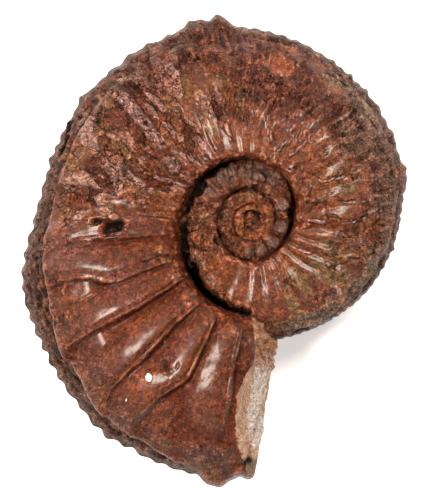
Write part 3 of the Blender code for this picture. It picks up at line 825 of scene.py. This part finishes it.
def break_face(outer_edge, inner_edge):
    """Rough broken rock between the end of the last whorl and the whorl before it."""
    reach = np.arange(len(outer_edge)) * (len(inner_edge) - 1) // (len(outer_edge) - 1)
    across = np.linspace(0.0, 1.0, BREAK_STEPS + 1)[:, None, None]
    points = outer_edge + (inner_edge[reach] - outer_edge) * across
    rise, fall = (np.sin(np.pi * np.clip(part, 0.0, 0.5)) for part in (across * 4.0, (1.0 - across) * 6.0))
    fade = np.broadcast_to(rise * fall, points.shape).copy()
    fade[..., 2] *= np.clip(np.abs(points[..., 2]) / 2.0, 0.0, 1.0)
    fade[:, 0] = 0.0
    fade[..., :2] *= 0.3 + 0.7 * smooth_step(-5.0, 1.0, points[..., 2:])
    push = np.stack([rough(points + offset, BREAK_GRAIN) for offset in (0.0, 30.0, 60.0)], axis=-1)
    lumps = nearness(points, LUMPS_PLACE, LUMPS_REACH)
    outward = np.array((0.7, 0.1, 0.7)) * crumbs(points, LUMP_SIZE)[..., None]
    return points + fade * (push * BREAK_ROUGHNESS + outward * (LUMP_HEIGHT * lumps + 0.4)[..., None])


def places_of(mesh, name="co"):
    """Read the place, or the normal, of every vertex."""
    values = np.empty(len(mesh.vertices) * 3)
    mesh.vertices.foreach_get(name, values)
    return values.reshape(-1, 3)


def add_mask(mesh, name, values):
    mesh.attributes.new(name, "FLOAT", "POINT").data.foreach_set("value", values)


def add_sheet(points, zones):
    """Add a grid, move its vertices onto the points and store the masks on them."""
    columns, rows = points.shape[0] - 1, points.shape[1] - 1
    bpy.ops.mesh.primitive_grid_add(x_subdivisions=columns, y_subdivisions=rows, size=2.0)
    sheet = bpy.context.object
    spots = (places_of(sheet.data)[:, :2] + 1.0) / 2.0 * (columns, rows)
    column, row = np.rint(spots).astype(int).T
    sheet.data.vertices.foreach_set("co", (points[column, row] * MM).ravel())
    for name, values in zones.items():
        add_mask(sheet.data, name, values[column, row])
    return sheet


def plain_zones(points, names, **given):
    """Masks that are zero all over, but for the given ones."""
    zones = {name: np.zeros(points.shape[:-1]) for name in names}
    for name in ("rod", "crack", "edge"):
        zones[name] += FAR
    zones["along"], zones["across"] = points[..., 0], points[..., 1]
    zones.update(given)
    return zones


def rock_zones(points, names):
    """Masks of the broken rock."""
    pale = np.zeros(points.shape[:-1])
    for start, end in zip(np.array(PALE_STREAK[:-1]), np.array(PALE_STREAK[1:])):
        for step in np.linspace(0.0, 1.0, 8):
            pale = np.maximum(pale, nearness(points, start + (end - start) * step, PALE_REACH, 0.5, 1.1))
    return plain_zones(
        points, names, rock=np.ones(pale.shape), pale=pale, lumps=nearness(points, LUMPS_PLACE, LUMPS_REACH),
        foot=nearness(points, FOOT_PLACE, FOOT_REACH, 0.7, 1.1),
        soot=nearness(points, DARK_PLACE, DARK_REACH, 0.4, 0.9),
    )


def side_sheets(side, columns, inner_rows, outer_rows, rim):
    """All the sheets of one side; rim is the finished keel line of the other side, or None."""
    sheets = []
    covered = cover_share(VENTER_START)
    levels = row_levels(0.0, covered, inner_rows)
    last_share = 1.0 if rim is None else RIM_SHARE
    outer = covered + (last_share - covered) * row_levels(covered, last_share, outer_rows)
    shares = np.concatenate((levels * covered, outer[1:]))
    angle, share = np.meshgrid(coil_angles(APERTURE, columns), shares, indexing="ij")
    points, zones = skin(angle, share, side)
    points[0, inner_rows] = points[-1, 0]
    outer_edge, inner_edge = points[-1], points[0, inner_rows:]
    sheets.append([points, zones])
    if rim is not None:
        rim_shares = np.linspace(RIM_SHARE, 1.0, RIM_ROWS + 1)
        angle, share = np.meshgrid(coil_angles(APERTURE, 2 * columns), rim_shares, indexing="ij")
        strip, strip_zones = skin(angle, share, side)
        strip[:, -1] = rim
        strip[::2, 0] = points[:, -1]
        halved(strip[:, 0])
        outer_edge = np.concatenate((outer_edge, strip[-1, 1:]))
        inner_edge = np.concatenate((inner_edge, strip[0, 1:]))
        sheets.append([strip, strip_zones])
    broken = break_face(outer_edge, inner_edge)

    end = APERTURE
    for _ in range(INNER_WHORLS):
        outer_points = points
        end, columns, inner_rows = end - TURN, columns // 2, inner_rows // 2
        levels = levels[::2]
        angle, level = np.meshgrid(coil_angles(end, columns), levels, indexing="ij")
        points, zones = skin(angle, level * cover_share(angle), side)
        points[:, -1] = outer_points[::2, 0]
        points[-1] = outer_points[0, 0 : 2 * inner_rows + 1 : 2]
        halved(outer_points[:, 0])
        halved(outer_points[0, : 2 * inner_rows + 1])
        sheets.append([points, zones])
    cap = centre_cap(points, side)
    names = list(zones)
    sheets.append([cap, plain_zones(cap, names, inner=np.ones(cap.shape[:-1]))])
    sheets.append([broken, rock_zones(broken, names)])
    return sheets


bpy.ops.object.select_all(action="DESELECT")
front_sheets = side_sheets(1, FRONT_COLUMNS, FRONT_INNER_ROWS, FRONT_OUTER_ROWS, None)
front_keel = front_sheets[0][0][:, -1].copy()
sheets = front_sheets + side_sheets(-1, BACK_COLUMNS, BACK_INNER_ROWS, BACK_OUTER_ROWS, front_keel)
pieces = [add_sheet(points, zones) for points, zones in sheets]
for piece in pieces:
    piece.select_set(True)
bpy.context.view_layer.objects.active = pieces[0]
bpy.ops.object.join()
ammonite = bpy.context.object
ammonite.name = "ammonite_fossil"
bpy.ops.object.mode_set(mode="EDIT")
bpy.ops.mesh.select_all(action="SELECT")
bpy.ops.mesh.remove_doubles(threshold=WELD)
bpy.ops.mesh.normals_make_consistent(inside=False)
bpy.ops.object.mode_set(mode="OBJECT")
bpy.ops.object.shade_smooth()

# The coil leans as the real one does. It is sheared upwards and not turned, so that every place
# stays where it was measured from above.
across_x, across_y = math.radians(TILT_X), math.radians(TILT_Y)
lean = Matrix.Diagonal((math.cos(across_y), math.cos(across_x), 1.0, 1.0))
lean[2][0], lean[2][1] = -math.sin(across_y), math.sin(across_x)
ammonite.data.transform(Matrix.Translation(Vector(AXIS_PLACE) * MM) @ lean)
places = places_of(ammonite.data)
places[:, 2] = np.maximum(places[:, 2], 0.0)
ammonite.data.vertices.foreach_set("co", places.ravel())
ammonite.data.update()


def hollowness(mesh, rounds):
    """How far in mm each vertex lies below the surface smoothed by a number of rounds."""
    count, places, normals = len(mesh.vertices), places_of(mesh) / MM, places_of(mesh, "normal")
    ends = np.empty(len(mesh.edges) * 2, dtype=int)
    mesh.edges.foreach_get("vertices", ends)
    here = np.concatenate((ends[0::2], ends[1::2]))
    there = np.concatenate((ends[1::2], ends[0::2]))
    neighbours = np.bincount(here, minlength=count)
    smooth = places.copy()
    for _ in range(rounds):
        total = np.stack([np.bincount(here, smooth[there, axis], count) for axis in range(3)], axis=-1)
        smooth = 0.5 * smooth + 0.5 * total / neighbours[:, None]
    return ((smooth - places) * normals).sum(axis=1)


for name, rounds in (("hollow_fine", 5), ("hollow_broad", 60)):
    add_mask(ammonite.data, name, hollowness(ammonite.data, rounds))

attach(ammonite, "root")
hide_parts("ammonite")


# The stone: a calcite and ironstone skin, red-brown and half glossy on the ribs, paler where it wore,
# with dull rock on the keel band, tan rock in the break and black in every crack. Painted shade darkens
# the troughs, the hollows and the crevice, and painted highlight lightens crests, edges and high facets.
def feed(made, inputs):
    """Give a node its inputs, each a value or the socket that feeds it."""
    for name, value in inputs.items():
        if isinstance(value, bpy.types.NodeSocket):
            tree.links.new(value, made.inputs[name])
        else:
            made.inputs[name].default_value = value


def node(kind, inputs, **settings):
    """Add a shader node to the tree in hand."""
    made = tree.nodes.new("ShaderNode" + kind)
    for name, value in settings.items():
        setattr(made, name, value)
    feed(made, inputs)
    return made


def cloud(place, scale, detail, grain, distortion=0.0):
    """Fractal noise at a place."""
    return node("TexNoise", {"Vector": place, "Scale": scale, "Detail": detail, "Roughness": grain,
                             "Distortion": distortion}).outputs


def moved(operation, first, second):
    """Add, subtract, multiply or divide two vectors."""
    return node("VectorMath", {0: first, 1: second}, operation=operation).outputs[0]


def mixed(share, first, second, blend="MIX"):
    """Mix two colours, which are sockets or linear RGB values."""
    first, second = ((*colour, 1.0) if isinstance(colour, tuple) else colour for colour in (first, second))
    return node("Mix", {0: share, 6: first, 7: second}, data_type="RGBA", blend_type=blend).outputs[2]


def math_of(operation, first, second=0.0, third=0.0, clamp=False):
    return node("Math", {0: first, 1: second, 2: third}, operation=operation, use_clamp=clamp).outputs[0]


def added(value, share, base):
    """A share of a value added to a base."""
    return math_of("MULTIPLY_ADD", value, share, base)


def less(first, second):
    return math_of("SUBTRACT", first, second)


def times(*values):
    """Product of two or more sockets and numbers."""
    product = values[0]
    for value in values[1:]:
        product = math_of("MULTIPLY", product, value)
    return product


def highest(*values):
    """Highest of two or more sockets and numbers, at most 1."""
    best = values[0]
    for value in values[1:]:
        best = math_of("MAXIMUM", best, value, clamp=True)
    return best


def stretched(value, low, high, to_low=0.0, to_high=1.0):
    """Bring a value from one range to another, without a corner, and clamp it there."""
    span = {0: value, 1: low, 2: high, 3: to_low, 4: to_high}
    return node("MapRange", span, interpolation_type="SMOOTHSTEP").outputs[0]


def new_group(name, outputs, **inputs):
    """Start a node group with named inputs and float outputs; it becomes the tree in hand."""
    global tree
    tree = bpy.data.node_groups.new(name, "ShaderNodeTree")
    for socket, kind in inputs.items():
        tree.interface.new_socket(socket, in_out="INPUT", socket_type=kind)
    for socket in outputs:
        tree.interface.new_socket(socket, in_out="OUTPUT", socket_type="NodeSocketFloat")
    return tree, tree.nodes.new("NodeGroupInput").outputs, tree.nodes.new("NodeGroupOutput")


def placed(group, **inputs):
    """Place a node group in the tree in hand and return its outputs."""
    made = tree.nodes.new("ShaderNodeGroup")
    made.node_tree = group
    feed(made, inputs)
    return made.outputs


FLOAT, VECTOR = "NodeSocketFloat", "NodeSocketVector"

# Mottling of a given grain size in metres, spread over 0 to 1.
mottle, given, result = new_group("stone mottle", ("Amount",), Place=VECTOR, Grain=FLOAT)
noise_value = cloud(given["Place"], math_of("DIVIDE", 1.0, given["Grain"]), 5.0, 0.62, 0.4)[0]
feed(result, {"Amount": stretched(noise_value, 0.28, 0.72)})

# A soft mask turned into one with a ragged edge.
ragged, given, result = new_group("ragged edge", ("Mask",), Mask=FLOAT, Mottle=FLOAT, Softness=FLOAT)
shifted = added(less(given["Mottle"], 0.5), 0.9, given["Mask"])
low, high = less(0.5, given["Softness"]), math_of("ADD", 0.5, given["Softness"])
feed(result, {"Mask": stretched(shifted, low, high)})

# Broken grain: a height of 0 to 1 made of fine noise and angular crumbs of a given size in metres.
grit, given, result = new_group("broken grain", ("Height",), Place=VECTOR, Size=FLOAT)
scale = math_of("DIVIDE", 1.0, given["Size"])
noise_value = cloud(given["Place"], scale, 5.0, 0.6, 0.8)[0]
cells = node("TexVoronoi", {"Vector": given["Place"], "Scale": times(scale, 1.3)})
feed(result, {"Height": stretched(added(cells.outputs["Distance"], -0.4, noise_value), 0.12, 0.5)})

# Short crooked cracks in stone of a given grain size in metres, and which side of one a place is on.
short, given, result = new_group("short cracks", ("Crack", "Step"), Place=VECTOR, Size=FLOAT)
scale = math_of("DIVIDE", 1.0, given["Size"])
noise_value = cloud(given["Place"], scale, 3.0, 0.55, 1.2)[0]
breaks = cloud(given["Place"], times(scale, 1.7), 2.0, 0.5)[0]
line = stretched(math_of("ABSOLUTE", less(noise_value, 0.5)), 0.022, 0.006)
feed(result, {"Crack": times(line, stretched(breaks, 0.48, 0.56)),
              "Step": stretched(noise_value, 0.48, 0.52)})

# Pin holes of a given spacing in metres.
pins, given, result = new_group("pin holes", ("Hole",), Place=VECTOR, Spacing=FLOAT, Size=FLOAT)
cells = node("TexVoronoi", {"Vector": given["Place"], "Scale": math_of("DIVIDE", 1.0, given["Spacing"])})
low = times(given["Size"], 0.4)
feed(result, {"Hole": stretched(cells.outputs["Distance"], low, given["Size"], 1.0, 0.0)})

# Broken plates: for a place and a plate size in mm, two chance numbers for each plate and the gap
# to the nearest joint as a share of a plate.
broken, given, result = new_group(
    "broken plates", ("Shade", "Kind", "Joint"), Place=VECTOR, Size=VECTOR, Raggedness=FLOAT
)
scaled = moved("DIVIDE", given["Place"], given["Size"])
shift = moved("SUBTRACT", cloud(scaled, 2.0, 4.0, 0.6)["Color"], (0.5, 0.5, 0.5))
shift = node("VectorMath", {0: shift, "Scale": given["Raggedness"]}, operation="SCALE").outputs[0]
on_plates = {"Vector": moved("ADD", scaled, shift), "Scale": 1.0}
cells = node("TexVoronoi", on_plates, voronoi_dimensions="2D")
joints = node("TexVoronoi", on_plates, voronoi_dimensions="2D", feature="DISTANCE_TO_EDGE")
chances = node("SeparateColor", {"Color": cells.outputs["Color"]}).outputs
feed(result, {"Shade": chances[0], "Kind": chances[1], "Joint": joints.outputs["Distance"]})

SKIN_DARK = (0.06, 0.012, 0.004)
SKIN_RED = (0.2, 0.036, 0.017)
SKIN_ORANGE = (0.29, 0.078, 0.018)
# Painted shade for the troughs between the ribs of the living chamber.
TROUGH_SHADE = (0.13, 0.022, 0.008)
# Crest colour, partly wear and partly painted highlight; painted highlight for rib edges and painted glints
# on high facets.
CREST, EDGE_HIGHLIGHT, GLINT_HIGHLIGHT = (0.44, 0.155, 0.078), (0.50, 0.25, 0.15), (0.64, 0.38, 0.28)
LIVING_SHADE = (0.74, 0.55, 0.39)
SCALE_DARK, SCALE_PALE = (0.13, 0.035, 0.024), (0.32, 0.10, 0.055)
ROD_DARK, ROD_PALE = (0.34, 0.12, 0.11), (0.70, 0.43, 0.38)
NEAR_BLACK = (0.007, 0.004, 0.003)
# Mask, darker and lighter colour, grain of its mottling in mm, and how soft its edge is.
STAINS = (
    ("maroon", (0.085, 0.018, 0.015), (0.24, 0.062, 0.048), 0.8, 0.35),
    ("inner", (0.12, 0.03, 0.015), (0.34, 0.11, 0.058), 1.0, 0.3),
    ("orange", (0.18, 0.046, 0.012), (0.38, 0.11, 0.026), 1.0, 0.4),
    ("olive", (0.12, 0.06, 0.022), (0.31, 0.20, 0.085), 0.8, 0.4),
    ("mauve", (0.14, 0.03, 0.032), (0.38, 0.135, 0.125), 0.7, 0.3),
    ("tan", (0.2, 0.08, 0.04), (0.47, 0.25, 0.14), 0.6, 0.3),
    ("grey", (0.14, 0.09, 0.062), (0.37, 0.25, 0.18), 0.6, 0.35),
    ("band", (0.045, 0.016, 0.011), (0.20, 0.086, 0.06), 0.7, 0.3),
    ("slate", (0.05, 0.022, 0.019), (0.19, 0.11, 0.088), 0.9, 0.3),
    ("scar", (0.26, 0.05, 0.018), (0.44, 0.11, 0.04), 1.5, 0.25),
)
# Shades of the broken plates, from the rarest dark to the palest.
PLATE_SHADES = (
    (0, (0.06, 0.014, 0.009)), (0.25, (0.17, 0.034, 0.016)), (0.5, (0.26, 0.064, 0.026)),
    (0.68, (0.3, 0.135, 0.05)), (0.85, (0.42, 0.165, 0.13)), (1, (0.64, 0.38, 0.31)),
)
# Sizes along and across the coil in mm.
PLATE_SIZE, SCALE_SIZE, CRAZE_SIZE = (1.5, 4.2, 1.0), (0.8, 1.5, 1.0), (3.4, 4.4, 1.0)
STREAK_SIZE = (0.45, 3.5, 1)
ROCK_TAN, ROCK_BUFF, ROCK_WHITE = (0.60, 0.31, 0.18), (0.84, 0.58, 0.43), (0.95, 0.84, 0.78)
RUST, FOOT_GREY, LUMP_SHADE = (0.60, 0.25, 0.14), (0.17, 0.12, 0.085), (0.20, 0.06, 0.03)
SPECK, CHALK = (0.16, 0.05, 0.02), (0.85, 0.84, 0.76)


def new_material(name):
    """Start a material, which becomes the tree in hand; its shader and place on the object."""
    global tree
    material = bpy.data.materials.new(name)
    material.use_nodes = True
    tree = material.node_tree
    return material, tree.nodes["Principled BSDF"], node("TexCoord", {}).outputs["Object"]


def mask_of(name):
    return node("Attribute", {}, attribute_name=name).outputs["Fac"]


def between(at_none, at_full, mask):
    """Go from one amount where a mask is 0 to another where it is 1."""
    return stretched(mask, 0.0, 1.0, at_none, at_full)


def mottling(grain):
    return placed(mottle, Place=place, Grain=grain * MM)["Amount"]


def grit_of(size):
    return placed(grit, Place=place, Size=size * MM)["Height"]


def plates_of(size, raggedness):
    return placed(broken, Place=on_coil, Size=size, Raggedness=raggedness)


stone, shader, place = new_material("fossil stone")
on_coil = node("CombineXYZ", {"X": mask_of("along"), "Y": mask_of("across")}).outputs[0]
broad_mottle, middle_mottle, fine_mottle = mottling(7.0), mottling(1.8), mottling(0.5)
coarse_grit, fine_grit = grit_of(1.5), grit_of(0.45)
flaked, pitted, scab, slate, inner, living, rock, hole, lumps, rod_gap, hollow_fine, hollow_broad = (
    mask_of(name) for name in (
        "flaked", "pitted", "scab", "slate", "inner", "living", "rock", "hole", "lumps", "rod",
        "hollow_fine", "hollow_broad",
    )
)
drawn_out = placed(grit, Place=moved("MULTIPLY", on_coil, (MM, 0.35 * MM, MM)), Size=0.8 * MM)["Height"]
coarse_grit = mixed(times(pitted, 0.7), coarse_grit, drawn_out)
kept = less(1.0, times(highest(slate, mask_of("scar")), SPARED))
worn = highest(pitted, times(flaked, 0.7), times(inner, 0.7), mask_of("band"), times(mask_of("grey"), 0.8),
               times(scab, 0.6))
worn = times(worn, kept)

# The skin, red-brown to orange, with painted shade darkening the troughs between the ribs; the crests are
# lightened further on.
colour = mixed(broad_mottle, SKIN_RED, SKIN_ORANGE)
colour = mixed(times(middle_mottle, 0.6), colour, SKIN_DARK)
for name, dark, light, grain, softness in STAINS:
    share = placed(ragged, Mask=mask_of(name), Mottle=mottling(grain), Softness=softness)["Mask"]
    tint = mixed(mottling(0.6 * grain), dark, light)
    colour = mixed(times(share, 0.78), colour, tint)
chamber = math_of("SUBTRACT", 1.0, highest(worn, inner, flaked), clamp=True)
trough_shade = times(stretched(mask_of("crest"), 0.5, 0.05), chamber)
colour = mixed(times(trough_shade, 0.62), colour, TROUGH_SHADE)

# Streaks down the ribs, finer than the mesh.
streak = stretched(cloud(moved("DIVIDE", on_coil, STREAK_SIZE), 1.0, 3.0, 0.6)[0], 0.3, 0.7)
colour = mixed(times(streak, highest(chamber, times(pitted, 0.8)), 0.42), colour, SKIN_DARK)

# Broken plates of skin, each with a shade of its own, and the rods of rib between them.
plate = plates_of(PLATE_SIZE, 0.7)
scale = plates_of(SCALE_SIZE, 0.7)
craze = plates_of(CRAZE_SIZE, 0.8)
shades = node("ValToRGB", {"Fac": plate["Shade"]})
shade_stops = shades.color_ramp.elements
while len(shade_stops) < len(PLATE_SHADES):
    shade_stops.new(0.5)
for stop, (position, shade) in zip(shade_stops, PLATE_SHADES):
    stop.position, stop.color = position, (*shade, 1.0)
flaking = stretched(added(middle_mottle, 0.5, flaked), 0.45, 0.75)
colour = mixed(times(flaking, 0.7), colour, shades.outputs[0])
tones = mixed(stretched(scale["Shade"], 0.35, 0.65), SCALE_DARK, SCALE_PALE)
colour = mixed(times(highest(pitted, scab), kept, 0.3), colour, tones)
rod_gap = added(less(middle_mottle, 0.35), 0.5, added(fine_mottle, -0.25, rod_gap))
rod = stretched(rod_gap, 0.02, -0.16)
colour = mixed(times(rod, 0.85), colour, mixed(mottling(0.9), ROD_DARK, ROD_PALE))
rod_side = times(stretched(rod_gap, -0.02, 0.08), stretched(rod_gap, 0.34, 0.14))

# The sharp edge of each rib with a painted highlight along it, and painted shadow in the step below it.
past_edge = added(fine_mottle, 0.12, mask_of("edge"))
edge_line_highlight = stretched(math_of("ABSOLUTE", past_edge), 0.22, 0.05)
edge_line_highlight = times(edge_line_highlight, chamber, stretched(mottling(3.0), 0.25, 0.6, 0.25, 1.0))
edge_shadow = times(stretched(past_edge, 0.1, 0.35), stretched(past_edge, 1.4, 0.5), chamber)
colour = mixed(times(edge_shadow, 0.55), colour, SKIN_DARK)
colour = mixed(times(edge_line_highlight, 0.6), colour, EDGE_HIGHLIGHT)

# Crests and edges rubbed paler, partly wear and partly painted highlight, and painted shade darkening the
# hollows.
crest_wear_and_highlight = times(stretched(hollow_broad, -0.25, -0.9), between(0.4, 0.1, inner))
wear_and_highlight = highest(stretched(hollow_fine, -0.02, -0.10), crest_wear_and_highlight)
wear_and_highlight = times(wear_and_highlight, stretched(coarse_grit, 0.2, 0.9, 0.1, 0.7),
             stretched(highest(hole, slate), 0.1, 0.5, 1.0, 0.1), stretched(worn, 0.2, 1.0, 1.0, 0.5))
colour = mixed(wear_and_highlight, colour, CREST)
colour = mixed(times(chamber, living), colour, LIVING_SHADE, "MULTIPLY")
# Painted shade: the hollows of the mesh darkened, the deepest towards near black.
fine_hollow_shade = times(stretched(hollow_fine, 0.02, 0.11), between(1.0, 0.6, chamber))
broad_hollow_shade = times(stretched(hollow_broad, 0.2, 1.1), between(0.5, 1.0, living))
hollow_shade = highest(times(fine_hollow_shade, stretched(middle_mottle, 0.2, 0.8, 0.35, 0.95)), times(broad_hollow_shade, 0.7))
colour = mixed(hollow_shade, colour, mixed(times(hollow_shade, mottling(1.2)), SKIN_DARK, NEAR_BLACK))

# The grain of the stone: painted shade in its low places and painted highlight on its high facets, most where
# worn, and painted glints on the highest.
low_shade, high_shade = between(0.46, 0.40, worn), between(1.44, 1.56, worn)
lump_shade = added(less(stretched(mottling(2.6), 0.3, 0.7, 0.7, 1.3), 1.0), worn, 1.0)
colour = mixed(1.0, colour, lump_shade, "MULTIPLY")
grain = stretched(math_of("ADD", times(fine_grit, 0.55), times(coarse_grit, 0.45)), 0.15, 0.85)
colour = mixed(1.0, colour, added(grain, less(high_shade, low_shade), low_shade), "MULTIPLY")
painted_glint = stretched(times(fine_grit, coarse_grit), 0.62, 0.92)
colour = mixed(times(painted_glint, between(0.15, 0.5, worn)), colour, GLINT_HIGHLIGHT)

# Black: joints between plates, around rods, along the drying cracks and in pin holes, and the mask of black
# patches and painted shade in pits, deep hollows and the crevice.
joint = times(stretched(plate["Joint"], 0.05, 0.015), flaking, stretched(mottling(2.6), 0.35, 0.6))
scale_joint = times(stretched(scale["Joint"], 0.10, 0.02), stretched(worn, 0.35, 0.8),
                    stretched(mottling(1.3), 0.45, 0.7))
crazing = times(stretched(craze["Joint"], 0.03, 0.008), stretched(mask_of("cracked"), 0.2, 0.6),
                stretched(mottling(3.5), 0.45, 0.6))
crack = stretched(added(fine_mottle, 0.25, mask_of("crack")), 0.08, 0.0)
fissure = placed(short, Place=place, Size=2.2 * MM)
fissured = highest(worn, times(flaking, 0.9), times(mask_of("cracked"), 0.8), scab)
fissures = times(fissure["Crack"], stretched(fissured, 0.3, 0.7))
pin = placed(pins, Place=place, Spacing=1.3 * MM, Size=0.26)["Hole"]
pin = times(pin, stretched(times(worn, middle_mottle), 0.25, 0.6))
soot = stretched(added(less(fine_mottle, 0.5), 0.5, mask_of("soot")), 0.3, 0.7)
black = highest(joint, times(scale_joint, 0.6), crazing, crack, pin, soot, times(rod_side, 0.4), fissures)
black = times(black, less(1.0, rock))
colour = mixed(times(black, 0.92), colour, NEAR_BLACK)

# The broken rock: tan, with a streak that is nearly white, rusty between its lumps.
rock_colour = mixed(mottling(2.0), ROCK_TAN, ROCK_BUFF)
pale = placed(ragged, Mask=mask_of("pale"), Mottle=mottling(1.2), Softness=0.35)["Mask"]
rock_colour = mixed(pale, rock_colour, ROCK_WHITE)
rock_colour = mixed(times(mottling(0.7), 0.3), rock_colour, ROCK_TAN)
rust = times(lumps, stretched(mottling(1.4), 0.15, 0.6, 0.3, 1.0))
rock_colour = mixed(times(rust, 0.8), rock_colour, RUST)
rock_colour = mixed(times(mask_of("foot"), 0.75), rock_colour, FOOT_GREY)
# Painted shade darkens the hollows between the lumps of rock.
rock_colour = mixed(times(hollow_shade, between(0.2, 0.75, lumps)), rock_colour, LUMP_SHADE)
rock_colour = mixed(1.0, rock_colour, stretched(fine_grit, 0.1, 0.7, 0.62, 1.08), "MULTIPLY")
speck = placed(pins, Place=place, Spacing=1.1 * MM, Size=0.26)["Hole"]
rock_colour = mixed(times(speck, stretched(mottling(1.0), 0.5, 0.8), 0.6), rock_colour, SPECK)
rock_colour = mixed(mask_of("soot"), rock_colour, NEAR_BLACK)
colour = mixed(rock, colour, rock_colour)
colour = mixed(stretched(mask_of("chalk"), 0.35, 0.55), colour, CHALK)

# The polish: glossy on the crests, dull in the troughs and the shaded hollows, matt on the rock.
roughness = added(hollow_shade, 0.2, added(less(middle_mottle, 0.5), 0.12, between(0.28, 0.36, worn)))
roughness = highest(roughness, times(rock, 0.9), times(black, 0.5), times(hole, 0.6))
glossy = times(chamber, less(1.0, times(trough_shade, 0.85)), less(1.0, rock))
dull = highest(black, times(trough_shade, 0.7), hole)

# Relief finer than the mesh, as a height in mm.
graininess = between(0.45, 1.35, highest(worn, times(rock, 0.6)))
height = times(added(coarse_grit, 0.32, times(fine_grit, 0.24)), graininess)
for form, share in (
    (times(plate["Kind"], flaking), 0.25), (times(scale["Kind"], worn), 0.12),
    (times(fissure["Step"], fissured), 0.14), (times(streak, chamber), 0.025), (rod, 0.2), (edge_line_highlight, 0.2),
    (times(mask_of("soot"), fine_grit), 0.3), (black, -0.2),
):
    height = added(form, share, height)
feed(shader, {
    "Base Color": colour, "Roughness": roughness,
    "Coat Weight": times(highest(glossy, times(slate, 0.5)), 0.38), "Coat Roughness": 0.22,
    "Specular IOR Level": between(0.44, 0.16, dull), "Specular Tint": (1.0, 0.85, 0.76, 1.0),
    "Normal": node("Bump", {"Strength": 1.0, "Distance": MM, "Height": height}).outputs[0],
})
ammonite.data.materials.append(stone)


# The floor: a plain pale sheet of matt card, seamless and far wider than the view.
FLOOR_SIZE = 1.6
FIBRE = 4.0
CARD_GREY, CARD_WHITE, WHITE = (0.86, 0.86, 0.86), (0.9, 0.9, 0.9), (1.0, 1.0, 1.0, 1.0)
CARD_GLOW = 0.55
bpy.ops.object.select_all(action="DESELECT")
bpy.ops.mesh.primitive_plane_add(size=FLOOR_SIZE)
floor = bpy.context.object
floor.name = "floor"
card, shader, place = new_material("pale card")
fibre = placed(mottle, Place=place, Grain=FIBRE * MM)["Amount"]
feed(shader, {
    "Base Color": mixed(fibre, CARD_GREY, CARD_WHITE), "Roughness": 0.9,
    "Emission Color": WHITE, "Emission Strength": CARD_GLOW,
})
floor.data.materials.append(card)


# The light: a warm lamp from the left, whose glints lie on the ribs as in the photograph, a weaker
# one from the upper right and a pale surrounding that keeps the shadow light.
LAMP_COLOUR, LAMP_SIZE = (1.0, 0.925, 0.81), 0.2
SURROUND_STRENGTH = 0.06


def add_lamp(name, place, power):
    """Hang a round lamp that shines at the fossil."""
    bpy.ops.object.light_add(type="AREA", location=place)
    lamp = bpy.context.object
    lamp.name, lamp.data.shape = name, "DISK"
    lamp.data.size, lamp.data.energy, lamp.data.color = LAMP_SIZE, power, LAMP_COLOUR
    lamp.rotation_euler = (-Vector(place)).to_track_quat("-Z", "Y").to_euler()


add_lamp("key lamp", (-0.29, 0.02, 0.55), 4.9)
add_lamp("fill lamp", (0.24, 0.30, 0.46), 3.6)
world = bpy.data.worlds.new("pale surround")
world.use_nodes = True
tree = world.node_tree
feed(tree.nodes["Background"], {"Color": WHITE, "Strength": SURROUND_STRENGTH})
bpy.context.scene.world = world
bpy.context.scene.view_settings.view_transform = "Standard"


# The camera: straight above, far off with a long lens, and the photograph's top is +Y.
IMAGE_HEIGHT = 500
PIXEL = 0.19 * MM
CENTRE_X, CENTRE_Y = 1.0, -1.5
LENS, SENSOR, REACH = 250.0, 36.0, 10.0
KEEL_LEVEL = 11.5 * MM
height = KEEL_LEVEL + IMAGE_HEIGHT * PIXEL * LENS / SENSOR
bpy.ops.object.camera_add(location=(CENTRE_X * PIXEL, CENTRE_Y * PIXEL, height), rotation=(0.0, 0.0, 0.0))
camera = bpy.context.object
camera.data.lens, camera.data.sensor_width, camera.data.clip_end = LENS, SENSOR, REACH
bpy.context.scene.camera = camera
